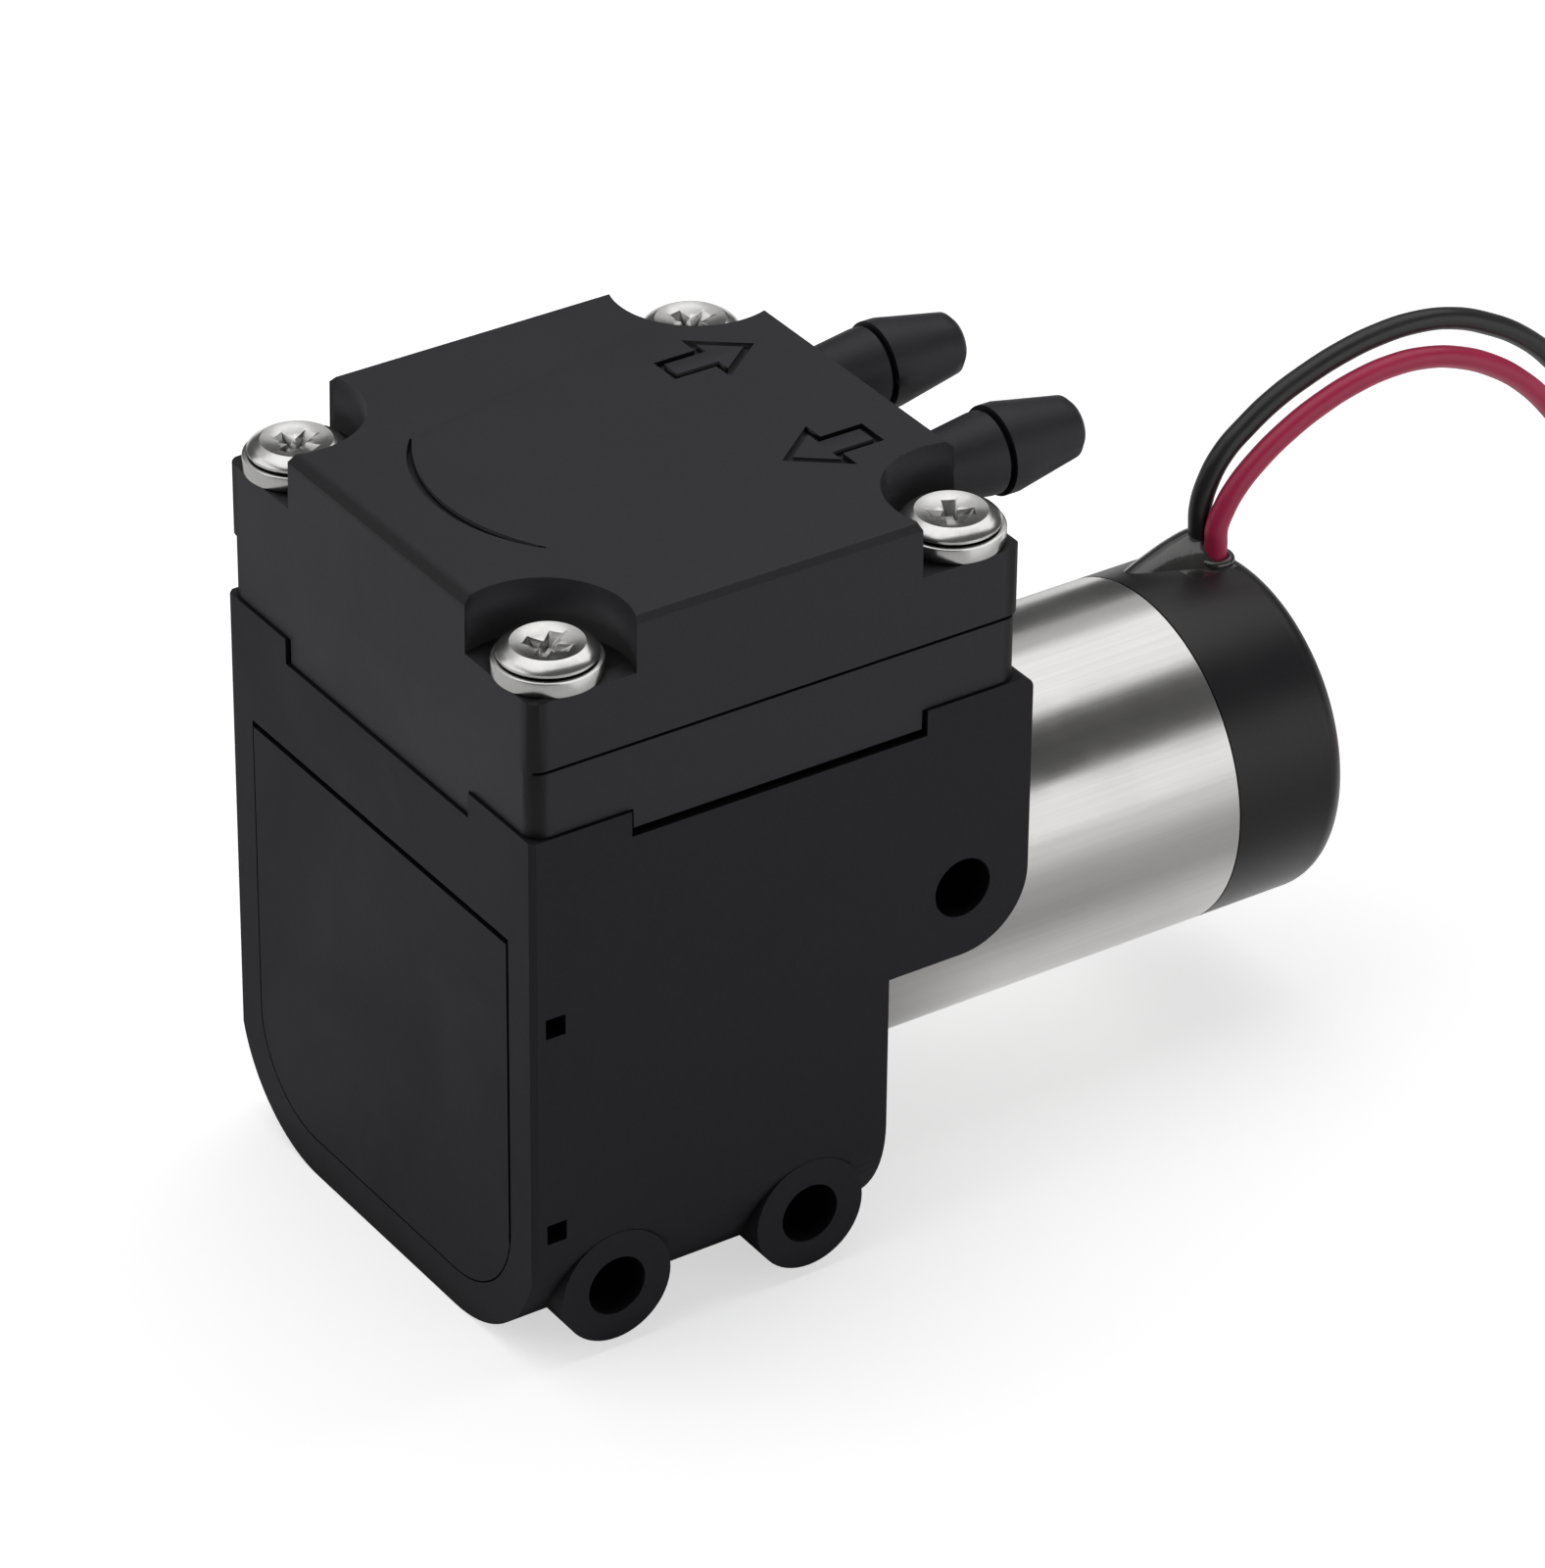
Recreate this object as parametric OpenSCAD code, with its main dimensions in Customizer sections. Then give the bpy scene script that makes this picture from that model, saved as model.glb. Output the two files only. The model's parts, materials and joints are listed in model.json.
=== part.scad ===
// Miniature diaphragm air pump with a brushed motor, in millimetres.
// X runs across the pump, +Y along the motor axis away from the head, +Z up.
// The origin lies on the housing's underside, straight below the head's centre.

/* [Housing] */
// Width of the housing across the motor axis
housing_w = 30.3; // [29.8:0.1:34]
// Height of the housing, from its underside to the valve plate
housing_h = 33; // [32:0.1:38]
// Distance from the head's centre to the back face of the lower body
back_depth = 7; // [6.6:0.1:8]
// Radius of the two lower corners
foot_r = 8; // [6:0.5:8.5]
// Bevel on the upright front edges
edge_bevel = 0.3; // [0.2:0.1:0.8]
// Height of the motor axis above the underside
axis_z = 14.65; // [14:0.05:15.5]
// Radius of the crank chamber
chamber_r = 11; // [10.4:0.1:11.5]
// Thickness of the wall between the crank chamber and the motor
back_wall = 2.1; // [1.7:0.1:2.6]
// Distance from the head's centre to the back face of the ears over the motor
ear_depth = 15.8; // [15.2:0.1:17]
// Height of the ears below the valve plate
ear_drop = 15.9; // [13:0.1:17]
// Radius of the ears' lower corner
ear_r = 4.2; // [3:0.1:5]
// Rounding of the ears' upper corner
ear_top_r = 0.7; // [0.3:0.1:0.8]
// Depth of the blind hole in each ear
ear_hole_depth = 5; // [3:0.5:6]
// Radial gap between the motor can and the cradle over it
cradle_gap = 0.2; // [0.1:0.05:0.4]

/* [Side bosses] */
// Outer radius of a side boss
boss_r = 3.35; // [2.8:0.05:3.6]
// Height of the side bosses' axes
boss_z = 4; // [3.7:0.1:4.6]
// Distance of the front boss behind the housing's front face
boss_inset = 5.1; // [4:0.05:6]
// Distance between the two bosses of a side
boss_pitch = 12.2; // [11:0.1:13]
// Length of a side boss
boss_len = 7.5; // [5:0.5:9]
// Radius of the mounting holes
mount_hole_r = 1.75; // [1.3:0.05:1.9]
// Depth of the mounting holes in the bosses
boss_hole_depth = 6.5; // [4:0.5:7]

/* [Front cover] */
// Thickness of the front cover
front_cover_t = 2; // [1.4:0.1:2.4]
// Width of the housing rim that is left around the front cover
cover_rim = 2.4; // [1.7:0.1:2.6]
// Distance from the valve plate down to the front cover's upper edge
cover_drop = 7.1; // [6:0.1:7.3]
// Gap around the front cover
cover_gap = 0.1; // [0.05:0.05:0.2]
// Gap over the front cover's upper edge
cover_top_gap = 0.25; // [0.2:0.05:0.4]
// Side of a snap lug and of the window that holds it
snap_size = 1.2; // [0.9:0.1:1.6]
// Height of the upper snap lugs
snap_upper_z = 21.6; // [17:0.1:23]
// Height of the lower snap lugs
snap_lower_z = 8.8; // [8.3:0.1:13]

/* [Head] */
// Step in from the housing to the head on each side
head_inset = 0.2; // [0:0.05:0.5]
// Thickness of the valve plate
plate_h = 3.8; // [3.5:0.1:5]
// Step in from the housing to the head cover on each side
cover_inset = 0.1; // [0:0.05:0.4]
// Height of the head cover
cover_h = 7.4; // [6.3:0.1:9]
// Rounding of the head's upright edges
head_round = 0.9; // [0.4:0.1:1.2]
// Bevel around the head cover's top
top_bevel = 0.4; // [0.3:0.1:1.2]
// Lean of the head cover's walls, taken in over its height
wall_lean = 0.1; // [0:0.05:0.5]
// Radius of the round groove in the head cover's top
mark_r = 10.7; // [8:0.1:11.2]
// Width of the round groove
mark_w = 0.3; // [0.2:0.05:0.6]
// Depth of the round groove
mark_depth = 0.25; // [0.1:0.05:0.5]
// Width of a tab of the valve plate
tab_w = 17.8; // [14:0.1:19]
// Drop of the tabs over the housing
tab_drop = 1.3; // [0.8:0.1:1.8]
// Thickness of the tabs
tab_t = 1.4; // [1:0.1:1.5]
// Depth of the pump chamber in the valve plate
roof_h = 1.4; // [1.2:0.1:1.6]
// Thickness of the valve sheet
sheet_t = 0.8; // [0.5:0.1:1]
// Radius of the valve sheet
sheet_r = 12; // [11:0.1:12.5]
// Radius of a valve tongue
tongue_r = 2.4; // [2:0.1:2.6]
// Width of the slot around a valve tongue
tongue_slot = 0.5; // [0.3:0.05:0.6]
// Radius of a valve's seat hole
seat_hole_r = 1.3; // [0.9:0.1:1.5]

/* [Head screws] */
// Distance of a head screw from the housing's sides
screw_edge = 2.85; // [2.6:0.05:3.3]
// Radius of the screw shank
screw_r = 1.48; // [1.2:0.02:1.6]
// Radial gap between the shank and its holes
screw_gap = 0.04; // [0.02:0.01:0.1]
// Radius of the screw head
screw_head_r = 2.65; // [2.4:0.05:2.8]
// Height of the screw head
screw_head_h = 1.25; // [1:0.05:1.6]
// Length of the shank
screw_len = 14; // [12:0.5:15]
// Distance of a screw pocket's centre from the housing's sides
pocket_edge = 2.1; // [1.8:0.05:2.6]
// Radius of the pocket around a screw
pocket_r = 4.75; // [4.4:0.05:5]
// Height of the pocket's floor above the valve plate
pocket_floor = 4.2; // [3.6:0.1:4.8]
// Radius of the lock washer
washer_r = 2.9; // [2.85:0.05:3]
// Thickness of the lock washer
washer_t = 0.9; // [0.5:0.05:1.1]

/* [Ports] */
// Distance of a port's axis from the middle
port_x = 5.5; // [5.2:0.05:6]
// Height of the ports' axes above the valve plate
port_rise = 3.9; // [3.6:0.05:4.2]
// Radius of the neck where it leaves the head
neck_r = 1.95; // [1.6:0.05:2.1]
// Radius of the neck behind the barb
collar_r = 2.3; // [2:0.05:2.4]
// Length of the neck
neck_len = 4.6; // [3.5:0.1:6]
// Largest radius of the barb
barb_r = 2.5; // [2.4:0.05:2.8]
// Length of the barb's round land
land_len = 0.8; // [0.6:0.1:1.2]
// Length of the barb's cone
barb_len = 4.35; // [3.5:0.1:6]
// Radius of the barb's tip
tip_r = 1.75; // [1.5:0.05:2]
// Radius of the air passage
bore_r = 1.1; // [0.8:0.05:1.25]

/* [Diaphragm] */
// Radius of the free part of the diaphragm
free_r = 9.4; // [8.8:0.1:9.8]
// Wall between the diaphragm's rim and the tabs of the valve plate
rim_wall = 0.75; // [0.65:0.05:1.3]
// Thickness of the diaphragm
diaphragm_t = 0.8; // [0.6:0.05:1]
// Depth of the bead under the rim
bead_h = 0.6; // [0.3:0.1:0.8]
// Radius of the stiff middle
crown_r = 6; // [5:0.1:6.4]
// Thickness of the stiff middle
crown_t = 1.6; // [1.4:0.1:1.8]
// Radius of the metal insert's disc
insert_r = 4.2; // [3:0.1:4.6]
// Radius of the insert's stud
stud_r = 1.25; // [1:0.05:1.5]
// Length of the stud below the diaphragm
stud_len = 4.5; // [3:0.5:5]

/* [Crank] */
// Throw of the eccentric, half of the stroke
throw = 1.2; // [0.8:0.05:1.3]
// Radius of the motor shaft
shaft_r = 1; // [0.8:0.05:1.15]
// Radius of the eccentric's journal
journal_r = 3; // [2.9:0.05:3.1]
// Radius of the rod bearing
bearing_r = 6; // [5.8:0.1:6.4]
// Width of the rod bearing
bearing_w = 4; // [3:0.1:4.2]
// Thickness of the bearing's rings
ring_t = 0.95; // [0.8:0.05:1]
// Number of balls
ball_count = 8; // [6:1:8]
// Wall of the connecting rod around the bearing
rod_wall = 1.3; // [1:0.1:1.6]
// Width of the connecting rod's neck
neck_w = 5; // [4:0.1:6]
// Thickness of the connecting rod's neck
neck_t = 3.2; // [2.4:0.1:4]
// Thickness of the plate under the diaphragm
rod_plate_t = 1.2; // [0.8:0.1:1.6]
// Radius of the counterweight
weight_r = 9.4; // [7:0.1:9.6]
// Thickness of the counterweight
weight_t = 4.2; // [3:0.1:5]
// Radius of the counterweight's hub
hub_r = 3.9; // [3.2:0.1:4.2]
// Gap between the parts that turn side by side
side_gap = 0.6; // [0.3:0.05:0.7]

/* [Motor] */
// Radius of the motor can
can_r = 10; // [9.6:0.05:10.2]
// Wall of the motor can
can_wall = 1; // [0.7:0.05:1.1]
// Length of the motor can
can_len = 27; // [25:0.5:34]
// Length of the rear cap
cap_len = 7.6; // [7:0.1:9]
// Rounding of the rear cap
cap_r = 1.5; // [0.5:0.1:2]
// Wall of the rear cap
cap_wall = 1.6; // [1.2:0.1:1.8]
// Length of the cap's spigot inside the can
spigot_len = 2.4; // [1.5:0.1:3]
// Radius of the boss that centres the motor
boss_motor_r = 3; // [2.8:0.1:3.2]
// Radius of the shaft bushings
bushing_r = 2.5; // [2.2:0.05:2.6]
// Length of the shaft bushings
bushing_len = 2.8; // [2:0.1:3]
// Radial running gap of the shaft
shaft_gap = 0.03; // [0.02:0.01:0.08]
// Air gap between the rotor and the field magnets
air_gap = 0.5; // [0.35:0.05:0.9]
// Distance of the rotor core behind the can's front
rotor_inset = 5; // [4:0.5:6]
// Length of the rotor core
rotor_len = 14; // [10:0.5:16]
// Thickness of the field magnets
magnet_t = 1.3; // [0.9:0.1:1.4]
// Radius of the commutator
commutator_r = 2.3; // [2:0.05:2.5]
// Distance of the motor screws from the axis
motor_screw_x = 6; // [5.6:0.1:6.6]
// Radius of the motor screws
motor_screw_r = 0.95; // [0.7:0.05:1]

/* [Leads] */
// Diameter of a lead
lead_d = 1.3; // [1.1:0.05:1.4]
// Height of the sealant mound above the cap
mound_h = 1.2; // [0.6:0.1:1.6]
// Radius of a lead's coil at the middle of its turns
coil_r = 7.2; // [6.5:0.1:7.8]
// Turns of a lead's coil
coil_turns = 1.75; // [0.75:1:3.75]
// Length of bare wire at a lead's end
bare_len = 5; // [3:0.5:6]

/* [Hidden] */
$fn = 64;

plastic = "#2b2b2f";
plastic_front = "#29282b";
steel = "#b9b8b4";
bright_steel = "#d0d0d2";
brass = "#b5965a";
copper = "#a85f34";
rubber = "#1d1d1f";
black_wire = "#151517";
red_wire = "#9b1f41";

// A small overshoot that keeps cuts open and joined solids whole
eps = 0.01;
// Gap of a close fit
fit_gap = 0.05;
// Gap around the valve plate's tabs
tab_gap = 0.2;
// Radial gap of the motor screws in the housing
motor_screw_gap = 0.15;

half_w = housing_w / 2;
// The head is square and stands over the front of the housing
front_depth = half_w;
boss_front = front_depth - boss_inset;
head_half = half_w - head_inset;
cover_half = half_w - cover_inset;
rim_r = head_half - tab_t - rim_wall;
plate_top = housing_h + plate_h;
cover_top = plate_top + cover_h;
screw_off = half_w - screw_edge;
pocket_off = half_w - pocket_edge;
seat_z = plate_top + pocket_floor;
port_z = plate_top + port_rise;
inlet_x = port_x;
outlet_x = -port_x;
chamber_front = -front_depth + front_cover_t;
chamber_back = back_depth - back_wall;
ear_bottom = housing_h - ear_drop;
ear_hole_y = ear_depth - ear_r;
ear_hole_z = ear_bottom + ear_r;
boss_rear = boss_front - boss_pitch;
motor_y = back_depth;
can_end = motor_y + can_len;
cap_end = can_end + cap_len;
cradle_r = can_r + cradle_gap;
screw_hole_r = screw_r + screw_gap;

// The rest position has the eccentric at the bottom of its stroke
crank_z = axis_z - throw;
rod_half = bearing_w / 2;
rod_ring_r = bearing_r + rod_wall;

// The diaphragm's middle lies one throw below its level at half stroke
crown_top = housing_h - throw - 2 * fit_gap;
crown_bottom = crown_top - crown_t;
insert_t = 0.7;
// Room that a valve tongue has to lift into
tongue_lift = 0.8;
insert_z = crown_bottom + (crown_t - insert_t) / 2;
rod_plate_top = crown_bottom - fit_gap;
throat_bottom = rod_plate_top - rod_plate_t - 2 * throw;
bead_w = 0.8;

weight_back = -rod_half - side_gap;
weight_front = weight_back - weight_t;
shaft_front = weight_front - 1.2;
cap_inner_r = can_r - cap_wall;
cap_floor_t = 2.1;
cap_floor = cap_end - cap_floor_t;
shaft_end = cap_floor - 0.3;
rotor_y = motor_y + rotor_inset;
magnet_r = can_r - can_wall;
rotor_r = magnet_r - magnet_t - air_gap;
winding_over = 1.4;
commutator_y = rotor_y + rotor_len + 2;
commutator_len = 4;
brush_y = commutator_y + 1;
brush_w = 2;
brush_len = 1.25;
brush_gap = 0.05;
brush_t = 1.6;
arm_t = 0.25;
arm_w = 2.2;
arm_tip = 0.4;
arm_tail = 1;
arm_x = commutator_r + brush_gap + brush_len;
web_t = 1.2;
web_y = can_end + 0.4;

lead_r = lead_d / 2;
black_x = -2.2;
red_x = -0.9;
coil_y = 84;
coil_h = lead_d * (coil_turns + 1);
black_coil_x = black_x - coil_r;
red_coil_x = red_x + coil_r;
bare_r = 0.35;
slot_x = [-3.4, 0.4];
slot_y = [cap_end - 4.2, cap_end - 1.2];

// Points of the black lead, as distance along the motor and height
black_route = [
    [39.6, 26], [39.6, 27.4], [40, 28.8], [41, 30.4], [42.6, 31.7], [44.4, 32.8], [46.6, 33.7],
    [49, 34.4], [51.6, 34.8], [54.2, 34.8], [56.8, 34.3], [59.4, 33.2], [62, 31.6], [64.4, 29.4],
    [66.6, 26.6], [68.5, 23.4], [70, 20], [71.1, 16.5], [71.9, 13], [72.6, 9.6], [73.4, 6.4],
    [74.7, 3.5], [76.8, 1.4], [79.6, 0.7]
];

// Points of the red lead, as distance along the motor and height
red_route = [
    [39.8, 25.7], [39.8, 26.6], [40.2, 27.6], [41, 28.8], [42.4, 30.1], [44.4, 31.4], [46.6, 32.4],
    [49, 33.1], [51.6, 33.4], [54, 33.2], [56.4, 32.5], [58.8, 31.3], [61.1, 29.6], [63.3, 27.3],
    [65.3, 24.5], [67, 21.4], [68.4, 18.2], [69.5, 14.9], [70.4, 11.6], [71.3, 8.4], [72.5, 5.4],
    [74.2, 2.9], [76.6, 1.3], [79.6, 0.7]
];

// A flat shape drawn in X and Z, drawn out from y0 to y1
module along_y(y0, y1) {
    translate([0, y1, 0])
        rotate([90, 0, 0])
            linear_extrude(y1 - y0)
                children();
}

// A flat shape drawn in Y and Z, drawn out from x0 to x1
module along_x(x0, x1) {
    translate([x0, 0, 0])
        rotate([90, 0, 90])
            linear_extrude(x1 - x0)
                children();
}

// Round bars along each axis
module rod_x(r, x0, x1, y = 0, z = 0) {
    translate([x0, y, z])
        rotate([0, 90, 0])
            cylinder(r = r, h = x1 - x0);
}
module rod_y(r, y0, y1, x = 0, z = axis_z) {
    translate([x, y1, z])
        rotate([90, 0, 0])
            cylinder(r = r, h = y1 - y0);
}
module rod_z(r, z0, z1, x = 0, y = 0) {
    translate([x, y, z0])
        cylinder(r = r, h = z1 - z0);
}

module on_both_sides() {
    children();
    mirror([1, 0, 0])
        children();
}

// Repeats a shape at the four corners of the head, off from the middle in X and Y
module at_corners(off) {
    for (x = [-off, off])
        for (y = [-off, off])
            translate([x, y, 0])
                children();
}

// A ring turned about the motor axis, from y0 to y1
module ring_y(outer, inner, y0, y1, z = axis_z) {
    difference() {
        rod_y(outer, y0, y1, 0, z);
        rod_y(inner, y0 - eps, y1 + eps, 0, z);
    }
}

// Outline with a straight top and round lower corners
module shield(half, bottom, top, corner) {
    translate([-half, bottom + corner])
        square([2 * half, top - bottom - corner]);
    translate([corner - half, bottom])
        square([2 * (half - corner), top - bottom]);
    for (x = [corner - half, half - corner])
        translate([x, bottom + corner])
            circle(r = corner);
}

// Outline of the ears, with both corners at the back rounded
module ear_outline() {
    translate([0, ear_bottom])
        square([ear_hole_y, ear_drop]);
    translate([0, ear_hole_z])
        square([ear_depth, housing_h - ear_top_r - ear_hole_z]);
    translate([0, ear_hole_z])
        square([ear_depth - ear_top_r, housing_h - ear_hole_z]);
    translate([ear_depth - ear_top_r, housing_h - ear_top_r])
        circle(r = ear_top_r);
    translate([ear_hole_y, ear_hole_z])
        circle(r = ear_r);
}

module front_outline(grow = 0, top_gap = 0) {
    shield(half_w - cover_rim + grow, cover_rim - grow, housing_h - cover_drop + top_gap,
        foot_r - cover_rim + grow);
}

// Blocks on the front and both sides of the head, from its face inwards
module tab_blocks(inner, outer, wide, low, high) {
    for (a = [-90, 0, 180])
        rotate(a)
            translate([inner, -wide / 2, low])
                cube([outer - inner, wide, high - low]);
}

module tabs() {
    tab_blocks(head_half - tab_t, head_half, tab_w, housing_h - tab_drop, housing_h + eps);
}

// Notches for the tabs, open to the outside of the housing
module tab_notches() {
    outer = max(half_w, front_depth) + 1;
    tab_blocks(head_half - tab_t - tab_gap, outer, tab_w + 2 * tab_gap,
        housing_h - tab_drop - tab_gap, housing_h + 1);
}

module snap_windows() {
    on_both_sides()
        for (z = [snap_lower_z, snap_upper_z])
            translate([half_w - cover_rim - eps, chamber_front - snap_size, z - snap_size / 2])
                cube([cover_rim + 1, snap_size, snap_size]);
}

module housing_mass() {
    along_y(-front_depth, back_depth)
        shield(half_w, 0, housing_h, foot_r);
    along_x(-half_w, half_w)
        ear_outline();
    on_both_sides()
        for (y = [-boss_front, -boss_rear])
            rod_x(boss_r, half_w - boss_len, half_w, y, boss_z);
}

module housing_hollow() {
    rod_y(cradle_r, back_depth, ear_depth + 1);
    rod_y(chamber_r, chamber_front - eps, chamber_back);
    rod_z(free_r, throat_bottom, housing_h + 1);
    translate([-free_r, chamber_front, axis_z])
        cube([2 * free_r, chamber_back - chamber_front, throat_bottom - axis_z + eps]);
    rod_z(rim_r + fit_gap, housing_h - diaphragm_t, housing_h + 1);
    difference() {
        rod_z(rim_r + fit_gap, housing_h - diaphragm_t - bead_h, housing_h);
        rod_z(rim_r - bead_w - fit_gap, 0, housing_h + 1);
    }
}

module housing() {
    color(plastic)
    difference() {
        housing_mass();
        housing_hollow();
        along_y(-front_depth - 1, chamber_front)
            front_outline(cover_gap, cover_top_gap);
        snap_windows();
        tab_notches();
        at_corners(screw_off)
            rod_z(screw_hole_r, seat_z - screw_len - 1, housing_h + 1);
        rod_y(boss_motor_r + fit_gap, chamber_back - 1, back_depth + 1);
        for (x = [-motor_screw_x, motor_screw_x])
            rod_y(motor_screw_r + motor_screw_gap, chamber_back - 1, back_depth + 1, x);
        on_both_sides()
            for (y = [-boss_front, -boss_rear])
                rod_x(mount_hole_r, half_w - boss_hole_depth, half_w + 1, y, boss_z);
        on_both_sides()
            rod_x(mount_hole_r, half_w - ear_hole_depth, half_w + 1, ear_hole_y, ear_hole_z);
        for (x = [-half_w, half_w])
            translate([x, -front_depth, -housing_h / 2])
                rotate(45)
                    translate([-edge_bevel, -edge_bevel, 0] * sqrt(0.5))
                        cube([edge_bevel * sqrt(2), edge_bevel * sqrt(2), 2 * housing_h]);
    }
}

module front_cover() {
    lug = snap_size - 2 * cover_gap;
    color(plastic_front) {
        along_y(-front_depth, chamber_front)
            front_outline();
        on_both_sides()
            for (z = [snap_lower_z, snap_upper_z])
                translate([half_w - cover_rim - eps, chamber_front - snap_size + cover_gap, z - lug / 2])
                    cube([snap_size * 0.75, lug, lug]);
    }
}

// Square plan of the head with its upright edges rounded
module head_plan(half) {
    flat = half - head_round;
    translate([-half, -flat])
        square([2 * half, 2 * flat]);
    translate([-flat, -half])
        square([2 * flat, 2 * half]);
    for (x = [-flat, flat])
        for (y = [-flat, flat])
            translate([x, y])
                circle(r = head_round);
}

module valve_plate() {
    color(plastic)
    difference() {
        union() {
            translate([0, 0, housing_h])
                linear_extrude(plate_h)
                    head_plan(head_half);
            tabs();
        }
        rod_z(free_r, housing_h - 1, housing_h + roof_h);
        rod_z(sheet_r, plate_top - sheet_t, plate_top + 1);
        rod_z(tongue_r + tongue_slot, plate_top - sheet_t - tongue_lift, plate_top, inlet_x);
        rod_z(seat_hole_r, housing_h, plate_top, -port_x);
        rod_z(seat_hole_r, housing_h, plate_top, port_x);
        at_corners(screw_off)
            rod_z(screw_hole_r, housing_h - tab_drop - 1, plate_top + 1);
    }
}

// The two tongues are cut free on three sides and open in opposite ways
module valve_sheet() {
    color(rubber)
    difference() {
        rod_z(sheet_r - fit_gap, plate_top - sheet_t, plate_top);
        for (side = [-1, 1])
            translate([side * port_x, 0, plate_top - sheet_t - 1])
                difference() {
                    rod_z(tongue_r + tongue_slot, 0, sheet_t + 2);
                    rod_z(tongue_r, -1, sheet_t + 3);
                    translate([-tongue_r / 2, 0, -1])
                        cube([tongue_r, tongue_r + 2, sheet_t + 4]);
                }
    }
}

module cover_profile() {
    top = cover_half - wall_lean;
    polygon([
        [-cover_half, plate_top], [cover_half, plate_top], [top, cover_top - top_bevel],
        [top - top_bevel, cover_top], [top_bevel - top, cover_top], [-top, cover_top - top_bevel]
    ]);
}

// One hose barb, turned about its own axis from the head's back face outwards
module port_barb() {
    root = 1.5;
    plain = 1.2;
    groove = 0.3;
    bevel = 0.35;
    cone = neck_len + land_len;
    tip = cone + barb_len;
    rotate([-90, 0, 0])
        rotate_extrude()
            polygon([
                [0, -root], [neck_r, -root], [neck_r, plain], [collar_r, neck_len - groove - 0.4],
                [collar_r, neck_len - groove], [neck_r, neck_len - groove], [neck_r, neck_len],
                [barb_r, neck_len], [barb_r, cone], [tip_r, tip - bevel], [tip_r - bevel, tip], [0, tip]
            ]);
}

module head_cover() {
    face = cover_half - wall_lean * port_rise / cover_h;
    color(plastic)
    difference() {
        union() {
            intersection() {
                along_y(-cover_half, cover_half)
                    cover_profile();
                along_x(-cover_half, cover_half)
                    cover_profile();
                linear_extrude(cover_top)
                    head_plan(cover_half);
            }
            for (x = [-port_x, port_x])
                translate([x, face, port_z])
                    port_barb();
        }
        at_corners(pocket_off)
            rod_z(pocket_r, seat_z, cover_top + 1);
        at_corners(screw_off)
            rod_z(screw_hole_r, plate_top - 1, cover_top);
        for (sx = [-1, 1])
            for (sy = [-1, 1])
                scale([sx, sy, 1])
                    translate([screw_off, screw_off, seat_z])
                        cube([screw_edge + 1, screw_edge + 1, cover_top]);
        for (x = [-port_x, port_x])
            rod_y(bore_r, 0, face + neck_len + land_len + barb_len + 1, x, port_z);
        rod_z(seat_hole_r, plate_top - 1, port_z, inlet_x);
        rod_z(tongue_r + tongue_slot, plate_top - 1, plate_top + tongue_lift, outlet_x);
        rod_z(seat_hole_r, plate_top, port_z, outlet_x);
        difference() {
            rod_z(mark_r + mark_w / 2, cover_top - mark_depth, cover_top + 1);
            rod_z(mark_r - mark_w / 2, cover_top - mark_depth - 1, cover_top + 2);
        }
    }
}

module head_screws() {
    base = seat_z + washer_t;
    crown_h = 0.9;
    dome = (screw_head_r * screw_head_r + crown_h * crown_h) / (2 * crown_h);
    recess = [3, 0.7, 0.9];
    color(bright_steel)
    at_corners(screw_off)
        difference() {
            union() {
                rod_z(screw_r, seat_z - screw_len, base + eps);
                intersection() {
                    rod_z(screw_head_r, base, base + screw_head_h);
                    translate([0, 0, base + screw_head_h - dome])
                        sphere(r = dome);
                }
            }
            for (a = [20, 110])
                rotate(a)
                    translate([-recess[0] / 2, -recess[1] / 2, base + screw_head_h - recess[2]])
                        cube(recess);
        }
}

module lock_washers() {
    split = 0.4;
    color(steel)
    at_corners(screw_off)
        difference() {
            rod_z(washer_r, seat_z, seat_z + washer_t);
            rod_z(screw_r + fit_gap, seat_z - 1, seat_z + washer_t + 1);
            rotate(200)
                translate([0, -split / 2, seat_z - split])
                    cube([2 * washer_r, split, washer_t + 2 * split]);
        }
}

// Height of the diaphragm's upper face at radius r, at the bottom of the stroke
function fold_z(r) =
    let (k = (r - crown_r) / (free_r - crown_r))
    crown_top + (housing_h - crown_top) * (1 - cos(180 * k)) / 2;

module diaphragm() {
    steps = 8;
    radii = [for (i = [0 : steps]) crown_r + (free_r - crown_r) * i / steps];
    flat = housing_h - diaphragm_t;
    color(rubber)
    difference() {
        union() {
            rotate_extrude()
                polygon(concat(
                    [[0, crown_bottom], [0, crown_top]],
                    [for (r = radii) [r, fold_z(r)]],
                    [[rim_r, housing_h], [rim_r, flat - bead_h], [rim_r - bead_w, flat - bead_h],
                        [rim_r - bead_w, flat]],
                    [for (i = [steps : -1 : 1]) [radii[i], fold_z(radii[i]) - diaphragm_t]],
                    [[crown_r, crown_bottom]]
                ));
        }
        rod_z(insert_r + fit_gap, insert_z - fit_gap, insert_z + insert_t + fit_gap);
        rod_z(stud_r + fit_gap, crown_bottom - 1, insert_z);
    }
}

module diaphragm_insert() {
    color(bright_steel) {
        rod_z(insert_r, insert_z, insert_z + insert_t);
        rod_z(stud_r, rod_plate_top - stud_len, insert_z + eps);
    }
}

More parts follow.
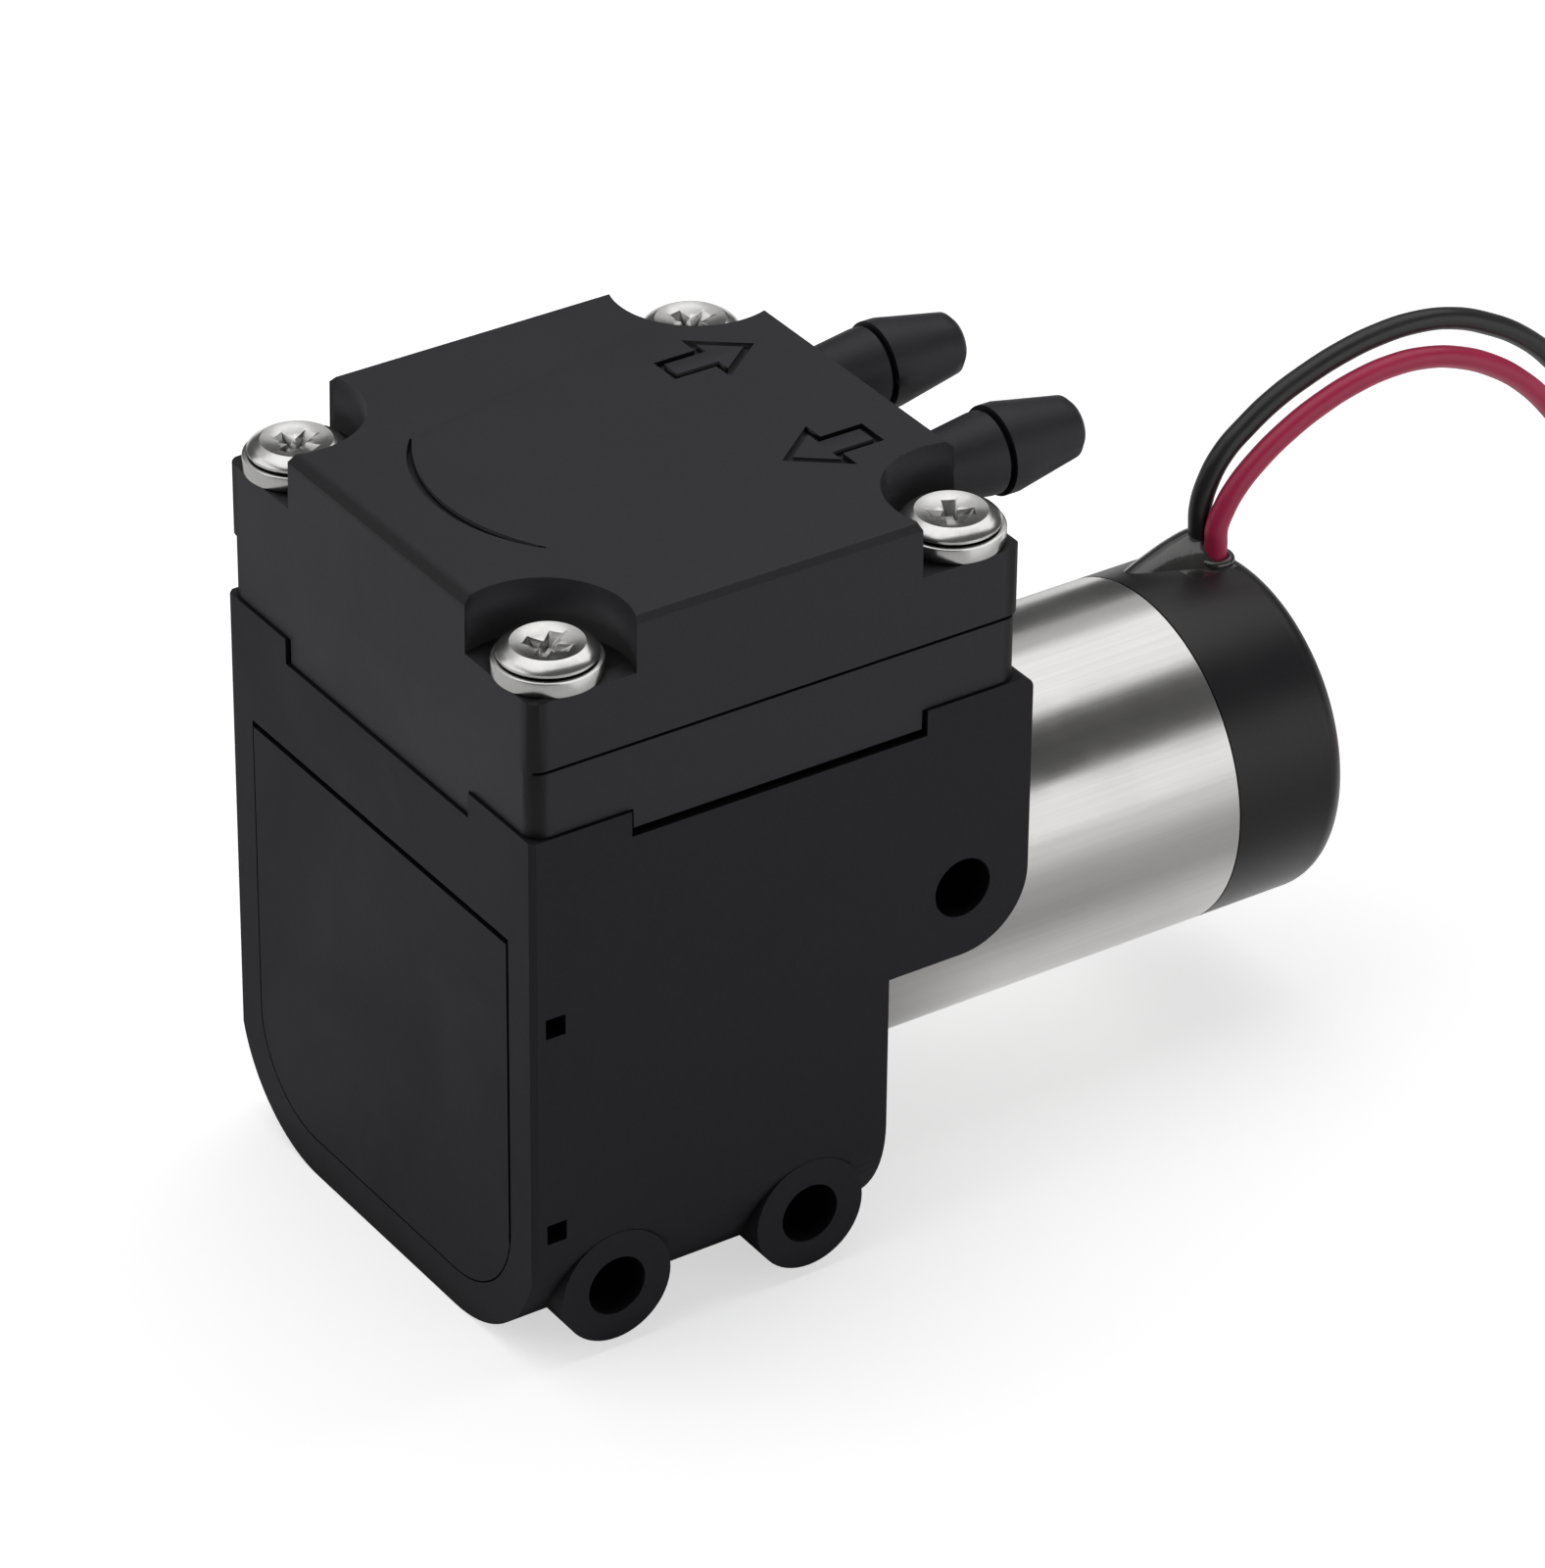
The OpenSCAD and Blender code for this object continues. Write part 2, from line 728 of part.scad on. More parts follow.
module connecting_rod() {
    plate_bottom = rod_plate_top - rod_plate_t;
    color(plastic)
    difference() {
        union() {
            rod_y(rod_ring_r, -rod_half, rod_half, 0, crank_z);
            along_y(-neck_t / 2, neck_t / 2)
                polygon([
                    [-neck_w * 0.8, crank_z + bearing_r], [neck_w * 0.8, crank_z + bearing_r],
                    [neck_w / 2, crank_z + rod_ring_r + 2], [neck_w / 2, plate_bottom - 1.4],
                    [crown_r - 1, plate_bottom + eps], [1 - crown_r, plate_bottom + eps],
                    [-neck_w / 2, plate_bottom - 1.4], [-neck_w / 2, crank_z + rod_ring_r + 2]
                ]);
            rod_z(crown_r - 0.2, plate_bottom, rod_plate_top);
            rod_z(stud_r + 1, rod_plate_top - stud_len - 1, rod_plate_top);
        }
        rod_y(bearing_r, -rod_half - 1, rod_half + 1, 0, crank_z);
        rod_z(stud_r, rod_plate_top - stud_len - 0.2, rod_plate_top + 1);
    }
}

ball_pitch = (journal_r + bearing_r) / 2;
groove_depth = 0.3;
ball_r = (bearing_r - journal_r) / 2 - ring_t + groove_depth - fit_gap;

module ball_groove() {
    translate([0, 0, crank_z])
        rotate([90, 0, 0])
            rotate_extrude()
                translate([ball_pitch, 0])
                    circle(r = ball_r + fit_gap);
}

module rod_bearing_outer() {
    color(bright_steel)
    difference() {
        ring_y(bearing_r, bearing_r - ring_t, -rod_half, rod_half, crank_z);
        ball_groove();
    }
}

module rod_bearing_inner() {
    color(bright_steel)
    difference() {
        ring_y(journal_r + ring_t, journal_r, -rod_half, rod_half, crank_z);
        ball_groove();
    }
}

module rod_bearing_balls() {
    color(bright_steel)
    for (i = [0 : ball_count - 1])
        translate([0, 0, crank_z])
            rotate([0, i * 360 / ball_count, 0])
                translate([ball_pitch, 0, 0])
                    sphere(r = ball_r);
}

module eccentric() {
    color(brass)
    difference() {
        union() {
            rod_y(journal_r, -rod_half, rod_half + eps, 0, crank_z);
            rod_y(journal_r + 0.7, rod_half, rod_half + 0.7, 0, crank_z);
        }
        rod_y(shaft_r, -rod_half - 1, rod_half + 2);
    }
}

// The heavy half stands opposite the eccentric and its hub holds the set screw
module counterweight() {
    color(brass)
    difference() {
        union() {
            rod_y(hub_r, weight_front, -rod_half);
            difference() {
                rod_y(weight_r, weight_front, weight_back);
                translate([-weight_r - 1, weight_front - 1, axis_z - weight_r - 1])
                    cube([2 * weight_r + 2, weight_t + 2, weight_r + 1.5]);
            }
        }
        rod_y(shaft_r, weight_front - 1, weight_back + 3);
        translate([0, weight_front + weight_t / 2, axis_z - hub_r - 1])
            rod_z(motor_screw_r, 0, hub_r + 1);
    }
}

module set_screw() {
    color(steel)
    translate([0, weight_front + weight_t / 2, axis_z - hub_r + 2 * fit_gap])
        difference() {
            rod_z(motor_screw_r, 0, hub_r - shaft_r - 2 * fit_gap - eps);
            rod_z(0.5, -1, 1, $fn = 6);
        }
}

module motor_can() {
    color(steel)
    difference() {
        union() {
            rod_y(can_r, motor_y, can_end);
            rod_y(boss_motor_r, motor_y - back_wall, motor_y + eps);
        }
        rod_y(can_r - can_wall, motor_y + can_wall, can_end + 1);
        rod_y(bushing_r, motor_y - back_wall - 1, motor_y + can_wall + 1);
        for (x = [-motor_screw_x, motor_screw_x])
            rod_y(motor_screw_r, motor_y - 1, motor_y + can_wall + 1, x);
    }
}

module motor_screws() {
    head_r = 1.75;
    head_h = 1.1;
    slot_len = 2.4;
    slot_w = 0.4;
    color(bright_steel)
    for (x = [-motor_screw_x, motor_screw_x])
        difference() {
            union() {
                rod_y(motor_screw_r, chamber_back - eps, motor_y + can_wall + 0.8, x);
                rod_y(head_r, chamber_back - head_h, chamber_back, x);
            }
            translate([x - slot_len / 2, chamber_back - head_h - 0.5, axis_z - slot_w / 2])
                cube([slot_len, 1, slot_w]);
        }
}

module bushing(y0) {
    color(brass)
        ring_y(bushing_r, shaft_r + shaft_gap, y0, y0 + bushing_len);
}

module front_bushing() {
    bushing(motor_y - back_wall + 0.2);
}

module rear_bushing() {
    bushing(cap_floor - bushing_len);
}

module field_magnets() {
    color("#4a4a4d")
    difference() {
        ring_y(magnet_r, magnet_r - magnet_t, rotor_y - 1, rotor_y + rotor_len + 1);
        for (z = [axis_z - magnet_r - 1, axis_z + magnet_r * 0.5])
            translate([-magnet_r, rotor_y - 2, z])
                cube([2 * magnet_r, rotor_len + 4, magnet_r * 0.5 + 1]);
    }
}

module motor_shaft() {
    color(bright_steel)
        rod_y(shaft_r, shaft_front, shaft_end);
}

poles = 5;
pole_half = 0.9;

// Points of a slice that spans a angle on both sides of straight up
function slice(r, a) = [[0, 0], [r * sin(-a), r * cos(a)], [0, r * 1.2], [r * sin(a), r * cos(a)]];

module at_poles() {
    for (i = [0 : poles - 1])
        rotate(i * 360 / poles)
            children();
}

module core_outline() {
    shoe = 1;
    shoe_angle = 30;
    circle(r = shaft_r + 1.4);
    at_poles() {
        translate([-pole_half, 0])
            square([2 * pole_half, rotor_r - shoe / 2]);
        intersection() {
            difference() {
                circle(r = rotor_r);
                circle(r = rotor_r - shoe);
            }
            polygon(slice(2 * rotor_r, shoe_angle));
        }
    }
}

module rotor_core() {
    color("#77777a")
    translate([0, 0, axis_z])
        along_y(rotor_y, rotor_y + rotor_len)
            difference() {
                core_outline();
                circle(r = shaft_r);
            }
}

module rotor_windings() {
    inner = shaft_r + 2.2;
    outer = rotor_r - 1.1;
    near = pole_half + fit_gap;
    color(copper)
    translate([0, 0, axis_z])
        along_y(rotor_y - winding_over, rotor_y + rotor_len + winding_over)
            at_poles()
                for (side = [-1, 1])
                    polygon([
                        [side * near, inner], [side * (near + 0.65), inner],
                        [side * (near + 1.65), outer - 0.65], [side * (near + 0.95), outer - 0.35],
                        [side * near, outer - 0.1]
                    ]);
}

module commutator() {
    slit = 0.24;
    color(copper)
    difference() {
        ring_y(commutator_r, shaft_r, commutator_y, commutator_y + commutator_len);
        translate([0, commutator_y - 1, axis_z])
            for (i = [0 : poles - 1])
                rotate([0, (i + 0.5) * 360 / poles, 0])
                    translate([-slit / 2, 0, commutator_r - 0.5])
                        cube([slit, commutator_len + 2, 1]);
    }
}

module carbon_brushes() {
    color("#3a3a3c")
    on_both_sides()
        translate([commutator_r + brush_gap, brush_y, axis_z - brush_t / 2])
            cube([brush_len, brush_w, brush_t]);
}

module brush_arms() {
    color(brass)
    on_both_sides()
        translate([arm_x, brush_y - arm_tip, axis_z - arm_w / 2])
            cube([arm_t, web_y + web_t + arm_tail - brush_y + arm_tip, arm_w]);
}

// Half section of the rear cap, turned about the motor axis
module cap_shell() {
    translate([0, cap_end, axis_z])
        rotate([90, 0, 0])
            rotate_extrude()
                difference() {
                    union() {
                        translate([0, cap_r])
                            square([can_r, cap_len - cap_r]);
                        square([can_r - cap_r, cap_len]);
                        translate([can_r - cap_r, cap_r])
                            intersection() {
                                circle(r = cap_r);
                                translate([-cap_r, -cap_r])
                                    square(2 * cap_r);
                            }
                        square([can_r - can_wall - fit_gap, cap_len + spigot_len]);
                    }
                    translate([0, cap_floor_t])
                        square([cap_inner_r, cap_len + spigot_len]);
                    translate([-can_r - 1, -1])
                        square([can_r + 1, cap_len + spigot_len + 2]);
                }
}

module motor_rear_cap() {
    color(rubber)
    difference() {
        union() {
            cap_shell();
            ring_y(bushing_r + 1.1, bushing_r, cap_floor - bushing_len, cap_floor + eps);
            ring_y(cap_inner_r + eps, commutator_r + 0.7, web_y, web_y + web_t);
        }
        on_both_sides()
            translate([arm_x, web_y - 1, axis_z - arm_w / 2])
                cube([arm_t, web_t + 2, arm_w]);
        lead_slot();
    }
}

module lead_slot() {
    translate([slot_x[0], slot_y[0], axis_z + cap_inner_r * 0.8])
        cube([slot_x[1] - slot_x[0], slot_y[1] - slot_y[0], can_r]);
}

// A ball whose top stands by rise above the top of the cap
module mound_ball(r, x, y, rise) {
    translate([x, y, axis_z + can_r + rise - r])
        sphere(r = r, $fn = 24);
}

// Sealant that fills the slot in the cap and stands up around the two leads
module lead_seal() {
    top = axis_z + can_r;
    color("#303032") {
        intersection() {
            lead_slot();
            rod_y(can_r, slot_y[0], slot_y[1]);
            difference() {
                rod_y(can_r + 1, slot_y[0], slot_y[1]);
                rod_y(cap_inner_r, slot_y[0] - 1, slot_y[1] + 1);
            }
        }
        difference() {
            hull() {
                mound_ball(1.6, black_x - 0.2, black_route[0][0] - 0.2, mound_h);
                mound_ball(1.5, red_x + 0.2, red_route[0][0] - 0.1, mound_h / 3);
                mound_ball(1.2, black_x - 0.4, black_route[0][0] - 3.8, -0.1);
            }
            difference() {
                rod_y(can_r, can_end, cap_end);
                lead_slot();
            }
        }
        rod_z(lead_r, top, black_route[0][1], black_x, black_route[0][0]);
        rod_z(lead_r, top, red_route[0][1], red_x, red_route[0][0]);
    }
}

function unit(v) = v / norm(v);

// Direction of a route at one of its points
function heading(route, i) =
    let (last = len(route) - 1)
    i == 0 ? [0, 1]
    : i == last ? [1, 0]
    : unit(route[i + 1] - route[i - 1]);

// A tube with eight sides in the plane x, with one ring at each point of its route
module lead_tube(route, x) {
    sides = 8;
    last = len(route) - 1;
    rings = [
        for (i = [0 : last])
            let (t = heading(route, i))
            for (k = [0 : sides - 1])
                let (a = 360 * k / sides, s = lead_r * sin(a))
                [x + lead_r * cos(a), route[i][0] - s * t[1], route[i][1] + s * t[0]]
    ];
    walls = [
        for (i = [0 : last - 1])
            for (k = [0 : sides - 1])
                let (a = i * sides + k, b = i * sides + (k + 1) % sides)
                each [[a, b + sides, a + sides], [a, b, b + sides]]
    ];
    ends = [
        [for (k = [sides - 1 : -1 : 0]) k],
        [for (k = [0 : sides - 1]) last * sides + k]
    ];
    polyhedron(points = rings, faces = concat(walls, ends), convexity = 6);
}

module lead_coil(x) {
    translate([x, coil_y, 0])
        difference() {
            rod_z(coil_r + lead_r, 0, coil_h);
            rod_z(coil_r - lead_r, -1, coil_h + 1);
        }
}

// The bare end lies on its coil and points towards the other lead
module bare_end(x0) {
    rod_x(bare_r, x0, x0 + bare_len, coil_y - coil_r, coil_h + bare_r);
}

module black_lead() {
    color(black_wire)
        lead_tube(black_route, black_x);
}

module red_lead() {
    color(red_wire)
        lead_tube(red_route, red_x);
}

module black_lead_coil() {
    color(black_wire)
        lead_coil(black_coil_x);
}

module red_lead_coil() {
    color(red_wire)
        lead_coil(red_coil_x);
}

module black_lead_end() {
    color(steel)
        bare_end(black_coil_x);
}

module red_lead_end() {
    color(steel)
        bare_end(red_coil_x - bare_len);
}

housing();
front_cover();
valve_plate();
valve_sheet();
head_cover();
head_screws();
lock_washers();
diaphragm();
diaphragm_insert();
connecting_rod();
rod_bearing_outer();
rod_bearing_inner();
rod_bearing_balls();
eccentric();
counterweight();
set_screw();
motor_can();
motor_screws();
front_bushing();
rear_bushing();
field_magnets();
motor_shaft();
rotor_core();
rotor_windings();
commutator();
carbon_brushes();
brush_arms();
motor_rear_cap();
lead_seal();
black_lead();
black_lead_coil();
black_lead_end();
red_lead();
red_lead_coil();
red_lead_end();
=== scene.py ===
# %% [markdown]
# # A miniature air pump, from bare solids to a finished picture
#
# The pump is about as long as a thumb. A small motor works a rubber diaphragm inside a black moulded body, and
# two hose barbs let the air in and out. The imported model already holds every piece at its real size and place.
# This lesson gives the pieces their finish: softened edges, engraved marks, wires, plating and light.
#
# Everything is in metres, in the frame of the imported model: X runs across the pump, +Y along the motor, +Z up.

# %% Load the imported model
import json
import math

import bmesh
import bpy
from mathutils import Matrix, Vector


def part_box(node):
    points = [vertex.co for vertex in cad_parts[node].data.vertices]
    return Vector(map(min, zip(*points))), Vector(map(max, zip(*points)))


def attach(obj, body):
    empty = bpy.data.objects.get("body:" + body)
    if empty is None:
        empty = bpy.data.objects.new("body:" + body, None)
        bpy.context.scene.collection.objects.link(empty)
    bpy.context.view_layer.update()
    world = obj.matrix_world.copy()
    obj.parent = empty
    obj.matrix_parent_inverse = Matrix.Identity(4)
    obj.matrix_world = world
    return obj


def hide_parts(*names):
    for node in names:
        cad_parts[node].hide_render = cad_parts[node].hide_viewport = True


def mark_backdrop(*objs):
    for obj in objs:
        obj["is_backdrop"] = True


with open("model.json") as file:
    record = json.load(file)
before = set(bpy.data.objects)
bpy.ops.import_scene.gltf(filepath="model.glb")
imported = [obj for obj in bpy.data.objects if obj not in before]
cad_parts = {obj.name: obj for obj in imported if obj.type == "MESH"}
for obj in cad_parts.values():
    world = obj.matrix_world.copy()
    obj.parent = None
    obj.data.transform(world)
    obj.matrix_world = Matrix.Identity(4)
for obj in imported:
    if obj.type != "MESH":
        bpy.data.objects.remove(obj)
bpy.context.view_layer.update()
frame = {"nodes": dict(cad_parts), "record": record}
nodes = frame["nodes"]
MM = 0.001

# %% [markdown]
# ## The camera
#
# A camera could be placed by eye until the picture looks right. Here its place was worked out instead: straight
# edges of the square head were read in the photograph and a pinhole camera was fitted to them. The result is an
# azimuth, an elevation, a small roll, a distance and a focal length in pixels. Blender wants the focal length in
# millimetres on a 36 mm sensor, and the sensor's 36 mm lie along the longer side of the picture.

# %% Place the camera
PICTURE_SIDE = 1600
FOCAL_PIXELS = 7932.17
SENSOR = 36
AZIMUTH = math.radians(56.028)
ELEVATION = math.radians(31.769)
ROLL = math.radians(-0.624)
DISTANCE = 408.55 * MM
LOOK_AT = Vector((0, 0, 33 * MM))
SIDE_STEP = 8.005 * MM
UP_STEP = -7.793 * MM
NEAREST_SEEN = 0.01


def camera_axes():
    back = Vector((
        math.sin(AZIMUTH) * math.cos(ELEVATION),
        -math.cos(AZIMUTH) * math.cos(ELEVATION),
        math.sin(ELEVATION),
    ))
    right = Vector((math.cos(AZIMUTH), math.sin(AZIMUTH), 0))
    return right, back.cross(right), back


def place_camera():
    right, up, back = camera_axes()
    place = LOOK_AT + back * DISTANCE + right * SIDE_STEP + up * UP_STEP
    turned_right = right * math.cos(ROLL) - up * math.sin(ROLL)
    turned_up = right * math.sin(ROLL) + up * math.cos(ROLL)
    data = bpy.data.cameras.new("camera")
    data.sensor_width = SENSOR
    data.lens = SENSOR * FOCAL_PIXELS / PICTURE_SIDE
    data.clip_start = NEAREST_SEEN
    camera = bpy.data.objects.new("camera", data)
    bpy.context.scene.collection.objects.link(camera)
    turn = Matrix((turned_right, turned_up, back)).transposed()
    camera.matrix_world = Matrix.Translation(place) @ turn.to_4x4()
    bpy.context.scene.camera = camera
    return camera


camera = place_camera()
print("lens in mm:", round(camera.data.lens, 1), "distance in mm:", round(DISTANCE / MM, 1))

# %% [markdown]
# ## Helpers for shader nodes
#
# Every finish is a small network of nodes. Adding a node, setting its values and joining it up takes several
# lines each time, so helpers do it: a value that is itself a socket is joined, any other value is typed into the
# input. The Mix node has one set of sockets for each kind of data, so its colour sockets are named by number.

# %% Node helpers
MIX_FACTOR, MIX_A, MIX_B, MIX_RESULT = 0, 6, 7, 2


def feed(tree, made, inputs):
    """Joins each input that is given a socket, and types any other value in."""
    for name, value in inputs.items():
        if isinstance(value, bpy.types.NodeSocket):
            tree.links.new(value, made.inputs[name])
        else:
            made.inputs[name].default_value = value
    return made


def add(tree, kind, inputs=None, **settings):
    made = tree.nodes.new(kind)
    for name, value in settings.items():
        setattr(made, name, value)
    return feed(tree, made, inputs or {})


def math_node(tree, operation, a, b=0.0, clamp=False):
    return add(tree, "ShaderNodeMath", {0: a, 1: b}, operation=operation, use_clamp=clamp).outputs[0]


def spread(tree, value, low, high, to_low=0.0, to_high=1.0):
    """Stretches the range from low to high, and holds what lies past its ends."""
    sockets = {"Value": value, "From Min": low, "From Max": high, "To Min": to_low, "To Max": to_high}
    return add(tree, "ShaderNodeMapRange", sockets).outputs["Result"]


def mix_colour(tree, factor, a, b):
    sockets = {MIX_FACTOR: factor, MIX_A: a, MIX_B: b}
    return add(tree, "ShaderNodeMix", sockets, data_type="RGBA").outputs[MIX_RESULT]


def noise(tree, vector, scale, detail, distortion=0.0):
    sockets = {"Vector": vector, "Scale": scale, "Detail": detail, "Distortion": distortion}
    return add(tree, "ShaderNodeTexNoise", sockets).outputs["Fac"]


def bumped(tree, height, depth, strength=0.5):
    """The normal of a surface that a height raises by up to depth."""
    sockets = {"Strength": strength, "Distance": depth, "Height": height}
    return add(tree, "ShaderNodeBump", sockets).outputs["Normal"]


def grey(level):
    return (level, level, level, 1)


print("node helpers are ready")

# %% [markdown]
# ## Effects that several finishes share
#
# Five effects come back in many materials, so each is a node group with its own inputs, placed in each material
# with that material's values. The groups put out masks and heights only. The shader itself stays in each
# material, where its plain values are set. The first two effects find places on the shape:
#
# - edge wear and sheen: a mask that is bright at corners, partly for wear from fingers and partly as a painted
#   highlight where a corner catches light. The Bevel node gives the normal that a rounded corner would have, and
#   its difference from the true normal shows where a corner is near.
# - seam shade: a mask of painted shade, with some dust, that is bright inside narrow gaps and corners, where dust
#   sits and light hardly comes in. The Ambient Occlusion node measures that: it looks a short way around each
#   point for other surfaces.

# %% Groups that find edges and seams
VALUE = "NodeSocketFloat"
VECTOR = "NodeSocketVector"
WEAR_AND_SHEEN_PATCHES = (0.35, 0.65)
OPEN_SKY, CLOSED_SKY = 0.72, 0.25


def new_group(name, inputs, outputs):
    tree = bpy.data.node_groups.new(name, "ShaderNodeTree")
    for label, kind, value in inputs:
        socket = tree.interface.new_socket(label, in_out="INPUT", socket_type=kind)
        if value is not None:
            socket.default_value = value
    for label in outputs:
        tree.interface.new_socket(label, in_out="OUTPUT", socket_type=VALUE)
    return tree, tree.nodes.new("NodeGroupInput").outputs, tree.nodes.new("NodeGroupOutput")


def place_group(tree, group, inputs):
    return add(tree, "ShaderNodeGroup", inputs, node_tree=group).outputs


# A mask for corners: wear from fingers, and a painted highlight where a corner catches light.
def make_edge_wear_and_sheen():
    tree, given, out = new_group(
        "edge_wear_and_sheen",
        [("Vector", VECTOR, None), ("Radius", VALUE, 0.0003), ("Gain", VALUE, 3.0), ("Scale", VALUE, 900.0)],
        ["Mask"],
    )
    rounded = add(tree, "ShaderNodeBevel", {"Radius": given["Radius"]}, samples=4).outputs["Normal"]
    true_normal = add(tree, "ShaderNodeNewGeometry").outputs["Normal"]
    alike = add(tree, "ShaderNodeVectorMath", {0: rounded, 1: true_normal}, operation="DOT_PRODUCT")
    bent = math_node(tree, "SUBTRACT", 1.0, alike.outputs["Value"])
    strong = math_node(tree, "MULTIPLY", bent, given["Gain"], clamp=True)
    broken = spread(tree, noise(tree, given["Vector"], given["Scale"], 4.0), *WEAR_AND_SHEEN_PATCHES)
    feed(tree, out, {"Mask": math_node(tree, "MULTIPLY", strong, broken, clamp=True)})
    return tree


def make_seam_shade():
    tree, given, out = new_group("seam_shade", [("Distance", VALUE, 0.0004), ("Gain", VALUE, 1.5)], ["Mask"])
    sky = add(tree, "ShaderNodeAmbientOcclusion", {"Distance": given["Distance"]}, samples=8).outputs["AO"]
    closed = spread(tree, sky, OPEN_SKY, CLOSED_SKY)
    feed(tree, out, {"Mask": math_node(tree, "MULTIPLY", closed, given["Gain"], clamp=True)})
    return tree


EDGE_WEAR_AND_SHEEN = make_edge_wear_and_sheen()
SEAM_SHADE = make_seam_shade()
print("masks of the shape:", EDGE_WEAR_AND_SHEEN.name, SEAM_SHADE.name)

# %% [markdown]
# The other three give a surface its texture:
#
# - spark grain: the fine, even pitting that a spark-eroded mould leaves on plastic.
# - drawn lines: fine scratches along one axis, as on a can that was drawn through a die.
# - smudge: slow changes of tone, from handling and from the flow of the plastic in the mould.
#
# Each starts from a noise or cell texture. A noise hardly ever reaches 0 or 1, so its middle range is spread out
# to give full contrast.

# %% Groups that give texture
NOISE_RANGE = (0.3, 0.7)
PIT_RANGE = (0.1, 0.7)
PIT_HEIGHT = 0.5


def make_spark_grain():
    tree, given, out = new_group(
        "spark_grain", [("Vector", VECTOR, None), ("Scale", VALUE, 4500.0)], ["Height", "Pits"]
    )
    fine = noise(tree, given["Vector"], given["Scale"], 3.0)
    cells = add(tree, "ShaderNodeTexVoronoi", {"Vector": given["Vector"], "Scale": given["Scale"]})
    pits = spread(tree, cells.outputs["Distance"], *PIT_RANGE)
    height = math_node(tree, "ADD", math_node(tree, "MULTIPLY", pits, PIT_HEIGHT), fine)
    feed(tree, out, {"Height": height, "Pits": pits})
    return tree


def make_drawn_lines():
    tree, given, out = new_group(
        "drawn_lines", [("Vector", VECTOR, None), ("Stretch", VECTOR, (6000.0, 60.0, 6000.0))], ["Height", "Tone"]
    )
    along = add(tree, "ShaderNodeVectorMath", {0: given["Vector"], 1: given["Stretch"]}, operation="MULTIPLY")
    lines = noise(tree, along.outputs[0], 1.0, 5.0)
    feed(tree, out, {"Height": lines, "Tone": spread(tree, lines, *NOISE_RANGE)})
    return tree


def make_smudge():
    tree, given, out = new_group("smudge", [("Vector", VECTOR, None), ("Scale", VALUE, 90.0)], ["Tone"])
    slow = noise(tree, given["Vector"], given["Scale"], 6.0, distortion=0.6)
    feed(tree, out, {"Tone": spread(tree, slow, *NOISE_RANGE)})
    return tree


SPARK_GRAIN = make_spark_grain()
DRAWN_LINES = make_drawn_lines()
SMUDGE = make_smudge()
print("effects:", [g.name for g in bpy.data.node_groups])

# %% [markdown]
# ## Plastic
#
# All black mouldings share one recipe and differ in their numbers. The colour is almost black and drifts a
# little with the smudge mask. Spark grain gives the matt surface through a Bump node. Edges are a shade lighter
# and smoother, partly from wear and partly as a painted highlight. The seams between the mouldings are dull and
# painted dark, with shade and some dust, and the same mask with a longer reach paints shade into the screw pockets.
#
# The head is painted a shade lighter than the body, for the stronger light on the upper part of the pump, so it
# has a finish of its own. Its upright corners and its upper front edge are darker, and a mask made of coordinates
# finds them: a corner is where both X and Y are large, and the edge is where a point is near the front and near
# the top.

# %% The recipe for plastic
CORNER_FROM = 13.9
CORNER_FULL = 14.25
EDGE_Y = 14.2
EDGE_Z = 43.45
EDGE_WIDE = 0.35
EDGE_SHARE = 0.8
HEAD_SHARE = 0.75
DARK_TONE = 0.85
PIT_SHARE = 0.1
WEAR_AND_SHEEN_SHARE = 0.5
WEAR_POLISH = 0.1
SEAM_ROUGHNESS = 0.95


def start_material(name):
    made = bpy.data.materials.new(name)
    made.use_nodes = True
    tree = made.node_tree
    shader = tree.nodes["Principled BSDF"]
    place = add(tree, "ShaderNodeTexCoord").outputs["Object"]
    return made, tree, shader, place


def head_edges(tree, place):
    """A mask that is bright at the head's four upright corners and along the upper front edge."""
    axes = add(tree, "ShaderNodeSeparateXYZ", {"Vector": place}).outputs
    nearest = math_node(
        tree, "MINIMUM", math_node(tree, "ABSOLUTE", axes["X"]), math_node(tree, "ABSOLUTE", axes["Y"])
    )
    corners = spread(tree, nearest, CORNER_FROM * MM, CORNER_FULL * MM)
    past_front = math_node(tree, "SUBTRACT", -EDGE_Y * MM, axes["Y"])
    past_top = math_node(tree, "SUBTRACT", axes["Z"], EDGE_Z * MM)
    near_both = math_node(tree, "MINIMUM", past_front, past_top)
    front_edge = spread(tree, near_both, 0.0, EDGE_WIDE * MM, 0.0, EDGE_SHARE)
    return math_node(tree, "MAXIMUM", corners, front_edge)


